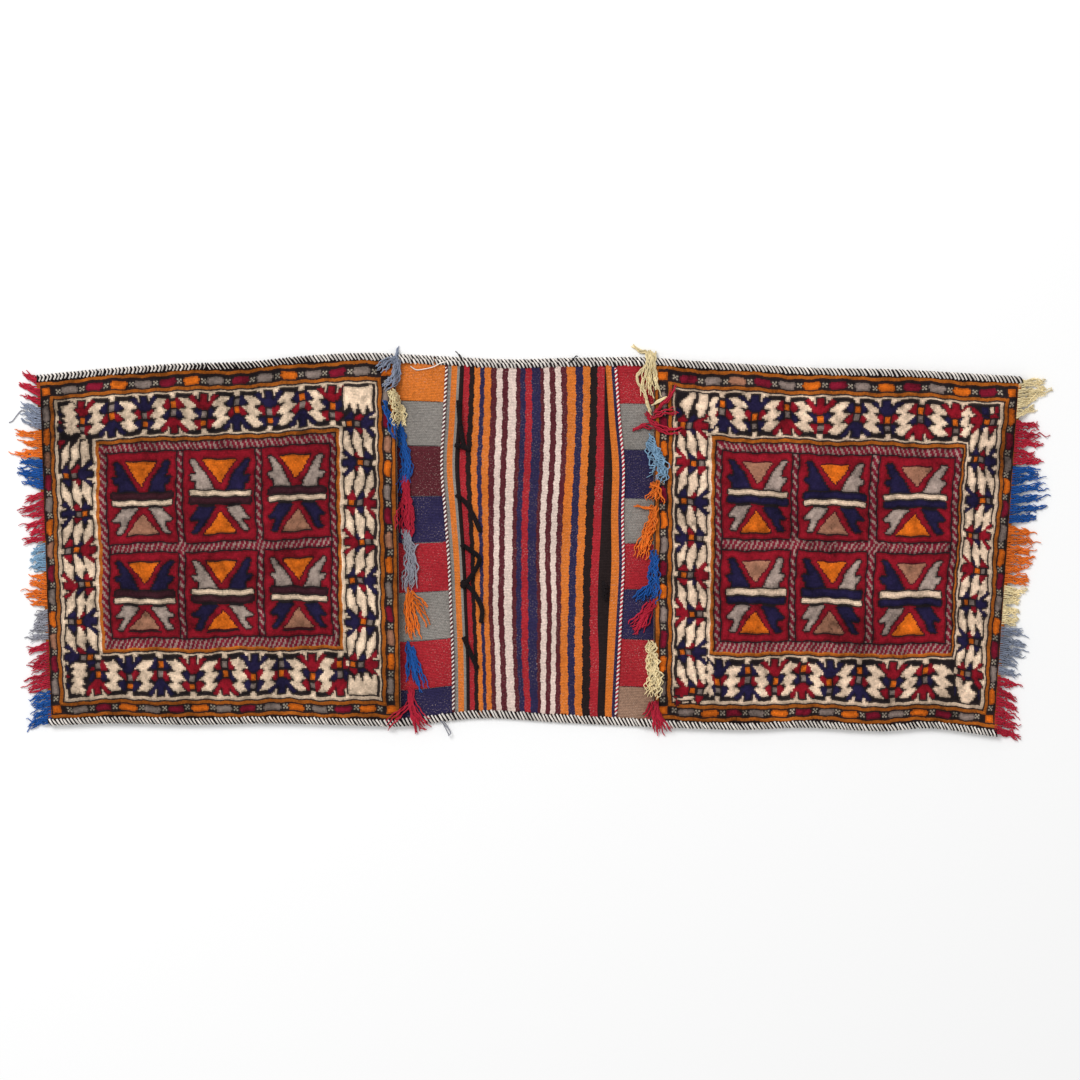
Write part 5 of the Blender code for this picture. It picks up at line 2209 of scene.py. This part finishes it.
@dataclass
class TwistedCord:
    """A cord of twisted strands that lies on the cloth."""

    finishes: Finishes
    name: str
    dyes: tuple[Dye, ...]
    strand_radius: float
    twist_radius: float
    lay_length: float
    steps: int = 8

    def strands(self, x: Array, y: Array, dives: bool) -> list[Array]:
        """Twists the strands round a route.

        Args:
            x: The route's X in the frame.
            y: Its Y.
            dives: Whether its ends go down into the cloth.

        Returns:
            The points of each strand.
        """
        reach = self.strand_radius + self.twist_radius
        seat = np.max([LAY.top_at(x + d, y) for d in (-0.001, 0.0, 0.001)], axis=0)
        from_end = np.minimum(np.arange(len(x)), np.arange(len(x))[::-1])
        dip = 1 - 0.9 * (1 - np.clip(from_end / 2, 0, 1)) if dives else 1
        spine = np.stack([x, y, seat + reach * 0.9 * dip], axis=1)
        length = np.concatenate([[0], np.cumsum(np.linalg.norm(np.diff(spine, axis=0), axis=1))])
        count = max(8, int(length[-1] / self.lay_length * self.steps))
        place = np.linspace(0, length[-1], count)
        spine = np.stack([np.interp(place, length, spine[:, axis]) for axis in range(3)], axis=1)
        ahead = np.gradient(spine, axis=0)
        ahead /= np.linalg.norm(ahead, axis=1)[:, None]
        aside = np.stack([-ahead[:, 1], ahead[:, 0], np.zeros(count)], axis=1)
        aside /= np.linalg.norm(aside, axis=1)[:, None]
        above = np.cross(ahead, aside)
        routes = []
        for number in range(len(self.dyes)):
            turn = 2 * math.pi * (place / self.lay_length + number / len(self.dyes))
            aside_by = np.cos(turn)[:, None] * aside
            routes.append(spine + self.twist_radius * (aside_by + np.sin(turn)[:, None] * above))
        return routes

    def make(
        self, routes: list[tuple[Array, Array]], node: str, slot: str, dives: bool = False
    ) -> list[bpy.types.Object]:
        """Builds the cord along one or more routes.

        Args:
            routes: For each length of cord, its X and its Y in the frame.
            node: The node that it stands for, if it has one.
            slot: A material slot's name, passed on to each piece.
            dives: Whether the ends go down into the cloth.

        Returns:
            One piece for each dye.
        """
        twisted = [self.strands(x, y, dives) for x, y in routes]
        pieces = []
        for dye in dict.fromkeys(self.dyes):
            mine = [number for number, other in enumerate(self.dyes) if other is dye]
            group = [strands[number] for strands in twisted for number in mine]
            radii = [np.full(len(route), self.strand_radius) for route in group]
            name = f"{self.name}_{dye.name.lower()}"
            pieces.append(yarns(name, group, radii, self.finishes.yarn(dye), slot, node))
        return pieces


# Lines of the black lacing and of the loose threads, in millimetres.
LACING = (
    ((-94.5, 196), (-93, 172), (-90, 150), (-87, 134), (-80, 129)),
    ((-97.5, 134), (-92, 133), (-84, 130)),
    ((-96.6, 64), (-84, 53), (-73, 34), (-64.5, 14)),
    (
        (-89.6, -5.6), (-78.4, -12.6), (-67.2, -21), (-65.8, -29.4), (-72.8, -43.4),
        (-84, -58.8), (-89.5, -63),
    ),
    ((-89.5, -57.4), (-78.4, -65.8), (-68.6, -79.8), (-61.6, -96.6), (-63, -113.4)),
    ((-86.8, -135.8), (-79.8, -152.6), (-72.8, -168), (-68.6, -177.8)),
)
LOOSE_THREADS = {
    Dye.YARN_WHITE: (
        ((-162, 245), (-154, 240), (-143, 241), (-130, 244), (-120, 249), (-112, 251)),
    ),
    Dye.BLACK: (
        ((-90, 252), (-95, 262), (-99, 266)),
        ((-88, 250), (-91, 258), (-94, 262)),
        ((63, 250), (69, 258), (73, 259)),
        ((60, 249), (66, 255), (71, 260)),
        ((76, 247), (71, 254), (70, 257)),
    ),
    Dye.YARN_GREY: (
        ((-118, -252), (-113, -262), (-109, -270), (-108, -273.5)),
        ((-116, -252), (-110, -260), (-106, -268), (-107, -272)),
        ((-120, -252), (-114, -258), (-108, -264), (-105, -270)),
        ((-701, 181), (-708, 183), (-714, 177), (-720, 169), (-725.5, 166)),
    ),
    Dye.YARN_BLUE: (((-672, -235), (-684, -245), (-691, -254), (-700, -268)),),
}


def evened(values: Array) -> Array:
    """Each value's mean with the two before and the two after it."""
    return np.convolve(np.pad(values, 2, mode="edge"), np.full(5, 0.2), "valid")


def along_handles(points: Points, count: int) -> tuple[Array, Array]:
    """Draws a smooth line through points.

    Args:
        points: The points, in millimetres.
        count: How many places of the line to give.

    Returns:
        Their X and their Y, in metres.
    """
    stations = np.arange(len(points), dtype=float)
    steps = np.linspace(0, len(points) - 1, count)
    x, y = (MM * SmoothCurve(tuple(zip(stations, line))).at(steps) for line in zip(*points))
    return x, y


@dataclass
class BridgeCords:
    """The twined lines, the black lacing cord, the black knot and the loose threads."""

    finishes: Finishes
    knot_place: tuple[float, float] = (0.110, -0.069)
    knot_length: float = 0.024
    knot_sway: float = 0.0026
    thread_radius: float = 0.0007
    edge_top: float = 0.0078

    def make(self) -> list[bpy.types.Object]:
        """Builds the cords.

        Returns:
            All their pieces, a dye each.
        """
        pieces = []
        rise = np.linspace(-LAY.free_half_width + 0.001, LAY.free_half_width - 0.001, 160)
        for place, dark in zip(LAY.twined, (Dye.STRIPE_MAROON, Dye.YARN_RED)):
            word = "left" if place < 0 else "right"
            dyes = (Dye.YARN_WHITE, dark)
            cord = TwistedCord(self.finishes, f"twined_line_{word}", dyes, 0.0012, 0.0010, 0.0060)
            start = np.full_like(rise, place)
            x, y = LAY.place(start + LAY.drift(start, rise), rise)
            pieces += cord.make([(x, y)], "", "flat_weave")
        lacing = TwistedCord(self.finishes, "lacing", (Dye.BLACK,) * 3, 0.0018, 0.0019, 0.0110)
        routes = [along_handles(points, 12 * len(points)) for points in LACING]
        pieces += lacing.make(routes, "lacing_cord", "black_yarn", True)
        share = np.linspace(0, 1, 60)
        x = self.knot_place[0] + self.knot_sway * np.sin(6 * math.pi * share)
        y = self.knot_place[1] + self.knot_length * (share - 0.5)
        knot = TwistedCord(self.finishes, "black_knot", (Dye.BLACK,) * 2, 0.0016, 0.0016, 0.0080)
        pieces += knot.make([(x, y)], "black_yarn_knot", "black_yarn", True)
        pieces += self.threads()
        return pieces

    def threads(self) -> list[bpy.types.Object]:
        """Builds the loose threads and tufts at the edges.

        Returns:
            One piece for each dye.
        """
        pieces = []
        slots = {
            Dye.YARN_WHITE: "overcast_edge", Dye.BLACK: "black_yarn",
            Dye.YARN_GREY: "grey_yarn", Dye.YARN_BLUE: "blue_yarn",
        }
        for dye, lines in LOOSE_THREADS.items():
            routes, radii = [], []
            for points in lines:
                x, y = along_handles(points, 6 * len(points))
                height = LAY.top_at(x, y) + 1.6 * self.thread_radius
                out = np.abs(LAY.flat(x, y)[1])
                on_edge = (out > LAY.free_half_width - 0.001) & (out < LAY.half_width + 0.001)
                height = evened(np.where(on_edge, np.maximum(height, self.edge_top), height))
                routes.append(np.stack([x, y, np.maximum(height, self.thread_radius)], axis=1))
                radii.append(np.full(len(x), self.thread_radius))
            name = f"loose_threads_{dye.name.lower()}"
            pieces.append(yarns(name, routes, radii, self.finishes.yarn(dye), slots[dye]))
        return pieces


@dataclass
class Studio:
    """The pale floor, the soft light and the camera that looks straight down."""

    view_middle: tuple[float, float] = (0.0196, 0.0014)
    view_width: float = 1.512
    lens: float = 100.0
    sensor: float = 36.0
    floor_size: float = 60.0
    floor_reach: float = 1.3
    floor_fade: float = 1.6
    world_strength: float = 0.64
    key_power: float = 215.0
    key_place: tuple[float, float, float] = (-2.4, 3.2, 4.6)
    key_size: float = 2.4
    floor_grey: float = 0.97
    floor_drop: float = 0.0003

    def make(self) -> None:
        """Builds the studio."""
        self.make_floor()
        self.make_world()
        self.make_lights()
        self.make_camera()

    def make_floor(self) -> None:
        """Lays a plain pale floor just under the bag."""
        body = bmesh.new()
        bmesh.ops.create_grid(body, x_segments=1, y_segments=1, size=self.floor_size / 2)
        bmesh.ops.translate(body, verts=body.verts[:], vec=(0, 0, -self.floor_drop))
        mesh = mesh_of("floor", body)
        material = bpy.data.materials.new("pale_floor")
        material.use_nodes = True
        shader = material.node_tree.nodes["Principled BSDF"]
        shader.inputs["Base Color"].default_value = (*[self.floor_grey] * 3, 1.0)
        shader.inputs["Roughness"].default_value = 1.0
        shader.inputs["Specular IOR Level"].default_value = 0.0
        wires = Wiring(material.node_tree)
        away = wires.node("VectorMath", {"operation": "LENGTH"})
        wires.put(away.inputs[0], wires.node("TexCoord").outputs["Object"])
        end = self.floor_reach + self.floor_fade
        smooth = {"interpolation_type": "SMOOTHSTEP"}
        reach = away.outputs["Value"]
        far = wires.node("MapRange", smooth, Value=reach, From_Min=self.floor_reach, From_Max=end)
        share = wires.math("MULTIPLY", far.outputs["Result"], self.seen_directly(wires))
        mixed = wires.node("MixShader", Fac=share)
        wires.put(mixed.inputs[1], shader.outputs["BSDF"])
        wires.put(mixed.inputs[2], wires.node("Emission").outputs["Emission"])
        surface = material.node_tree.nodes["Material Output"].inputs["Surface"]
        wires.put(surface, mixed.outputs["Shader"])
        floor = piece_from_mesh("floor", mesh, material)

    @staticmethod
    def seen_directly(wires: Wiring) -> bpy.types.NodeSocket:
        """Tells what the camera sees, also in gloss and through glass, from other light.

        Args:
            wires: The tree that asks.

        Returns:
            An output that is 1 for what the camera sees and 0 otherwise.
        """
        path = wires.node("LightPath").outputs
        seen = wires.math("MAXIMUM", path["Is Camera Ray"], path["Is Glossy Ray"])
        return wires.math("MAXIMUM", seen, path["Is Transmission Ray"])

    def make_world(self) -> None:
        """Surrounds the scene with soft white, which shows as full white itself."""
        world = bpy.data.worlds.new("soft_white")
        bpy.context.scene.world = world
        world.use_nodes = True
        wires = Wiring(world.node_tree)
        background = world.node_tree.nodes["Background"]
        background.inputs["Color"].default_value = (1.0, 1.0, 1.0, 1.0)
        seen = self.seen_directly(wires)
        level = wires.node("MapRange", Value=seen, To_Min=self.world_strength, To_Max=1.0)
        wires.put(background.inputs["Strength"], level.outputs["Result"])

    def make_lights(self) -> None:
        """Adds one large soft lamp above, towards the upper left."""
        lamp = bpy.data.lights.new("key", "AREA")
        lamp.shape = "SQUARE"
        lamp.size = self.key_size
        lamp.energy = self.key_power
        holder = bpy.data.objects.new("key", lamp)
        holder.location = self.key_place
        aim = mathutils.Vector(self.key_place)
        holder.rotation_euler = aim.to_track_quat("Z", "Y").to_euler()
        bpy.context.scene.collection.objects.link(holder)

    def make_camera(self) -> None:
        """Adds the long-lens camera that looks straight down."""
        camera = bpy.data.cameras.new("camera")
        camera.lens = self.lens
        camera.sensor_width = self.sensor
        camera.clip_end = 50.0
        holder = bpy.data.objects.new("camera", camera)
        distance = self.view_width * self.lens / self.sensor
        holder.location = (*self.view_middle, distance + 0.01)
        bpy.context.scene.collection.objects.link(holder)
        bpy.context.scene.camera = holder
        bpy.context.scene.view_settings.view_transform = "Standard"


def left_front(finishes: Finishes) -> PileFront:
    """Plans the left pile front, with its own figures and dyes.

    Args:
        finishes: The bag's materials.

    Returns:
        The front, not yet built.
    """
    plain = Dye.ORANGE
    return PileFront(
        Side.LEFT,
        finishes,
        stalks={
            "upper": run_of(
                (-615, -573, -529, -487, -446, -399, -355, -309, -267), "RNNRRNNNR", True, "oogggoggo"
            ),
            "lower": run_of(
                (-604, -560, -516, -470, -425, -384, -346, -302, -263), "RNNRRNNRR", True, "ogggoooog"
            ),
            "outer": run_of((105, 49, -4, -53, -106, -158), "NNRRNN", False, "ggogog"),
            "mouth": run_of((159, 104, 50, -3, -57, -113, -169), "NNRRNNR", True, "gogogog"),
        },
        guards={
            "upper": "GROGROGRGOGRG", "lower": "GROGROGRGOGRO",
            "outer": "GOTRGOTRGOTRG", "mouth": "GRTOGRTOGRTOG",
        },
        columns=((-0.5835, -0.4865), (-0.4755, -0.3765), (-0.3655, -0.2735)),
        rows=((-0.135, -0.0125), (0.0035, 0.130)),
        compartments=(
            Compartment(plain, (Dye.NAVY, Dye.NAVY), (Dye.MAROON, Dye.IVORY), Dye.TAN,
                        (Dye.GREY, Dye.GREY)),
            Compartment(plain, (Dye.GREY, Dye.NAVY), (Dye.IVORY, Dye.MAROON), plain,
                        (Dye.NAVY, Dye.GREY)),
            Compartment(plain, (Dye.GREY, Dye.GREY), (Dye.MAROON, Dye.IVORY), Dye.TAN,
                        (Dye.NAVY, Dye.NAVY)),
        ),
        corner_kinds={"outer": ("stack", "stack"), "mouth": ("block", "block")},
        depth=(0.90, 0.92, 0.95),
    )


def right_front(finishes: Finishes) -> PileFront:
    """Plans the right pile front, with its own figures and dyes.

    Args:
        finishes: The bag's materials.

    Returns:
        The front, not yet built.
    """
    plain = Dye.ORANGE
    return PileFront(
        Side.RIGHT,
        finishes,
        stalks={
            "upper": run_of((273, 317, 361, 406, 455, 497, 542, 590), "NNRRNNRR", False, "gogogogo"),
            "lower": run_of((271, 313, 351, 393, 430, 473, 521, 567), "NNRRNNRR", False, "ogogogog"),
            "mouth": run_of((164, 113, 60, 8, -42, -95, -149, -203), "RRNNRRNR", False, "gogogogo"),
            "outer": run_of((187, 132, 75, 25, -24, -71, -125, -171), "RNNRRNNR", False, "ogogogog"),
        },
        guards={
            "upper": "RGTRGORGORGOR", "lower": "GORGORGORGORG",
            "outer": "ORGORGORGORGO", "mouth": "GROGROGROGROG",
        },
        columns=((0.2745, 0.3695), (0.3800, 0.4770), (0.4900, 0.6000)),
        rows=((-0.130, -0.0045), (0.0115, 0.131)),
        compartments=(
            Compartment(Dye.TAN, (Dye.NAVY, Dye.GREY), (Dye.IVORY, Dye.NAVY), plain,
                        (Dye.GREY, Dye.NAVY)),
            Compartment(plain, (Dye.NAVY, Dye.GREY), (Dye.NAVY, Dye.IVORY), Dye.TAN,
                        (Dye.GREY, Dye.NAVY)),
            Compartment(Dye.TAN, (Dye.NAVY, Dye.GREY), (Dye.IVORY, Dye.NAVY), plain,
                        (Dye.GREY, Dye.NAVY)),
        ),
        corner_kinds={"outer": ("bits", "fangs"), "mouth": ("leaning", "stack")},
        outer_scale=0.83,
    )


def main() -> None:
    """Builds the studio and then the bag, piece by piece."""
    logging.basicConfig(level=logging.INFO, format="%(name)s %(message)s")
    Studio().make()
    finishes = Finishes()
    strip = FlatStrip(finishes).make()
    fronts = {Side.LEFT: left_front(finishes).make(), Side.RIGHT: right_front(finishes).make()}
    edges = OvercastEdge(finishes, "upper", 1).make() + OvercastEdge(finishes, "lower", -1).make()
    cords = BridgeCords(finishes).make()
    for side, front in fronts.items():
        fringe = YarnFringe(side, finishes)
        bunches = fringe.make_end() + fringe.make_mouth()


if __name__ == "__main__":
    main()
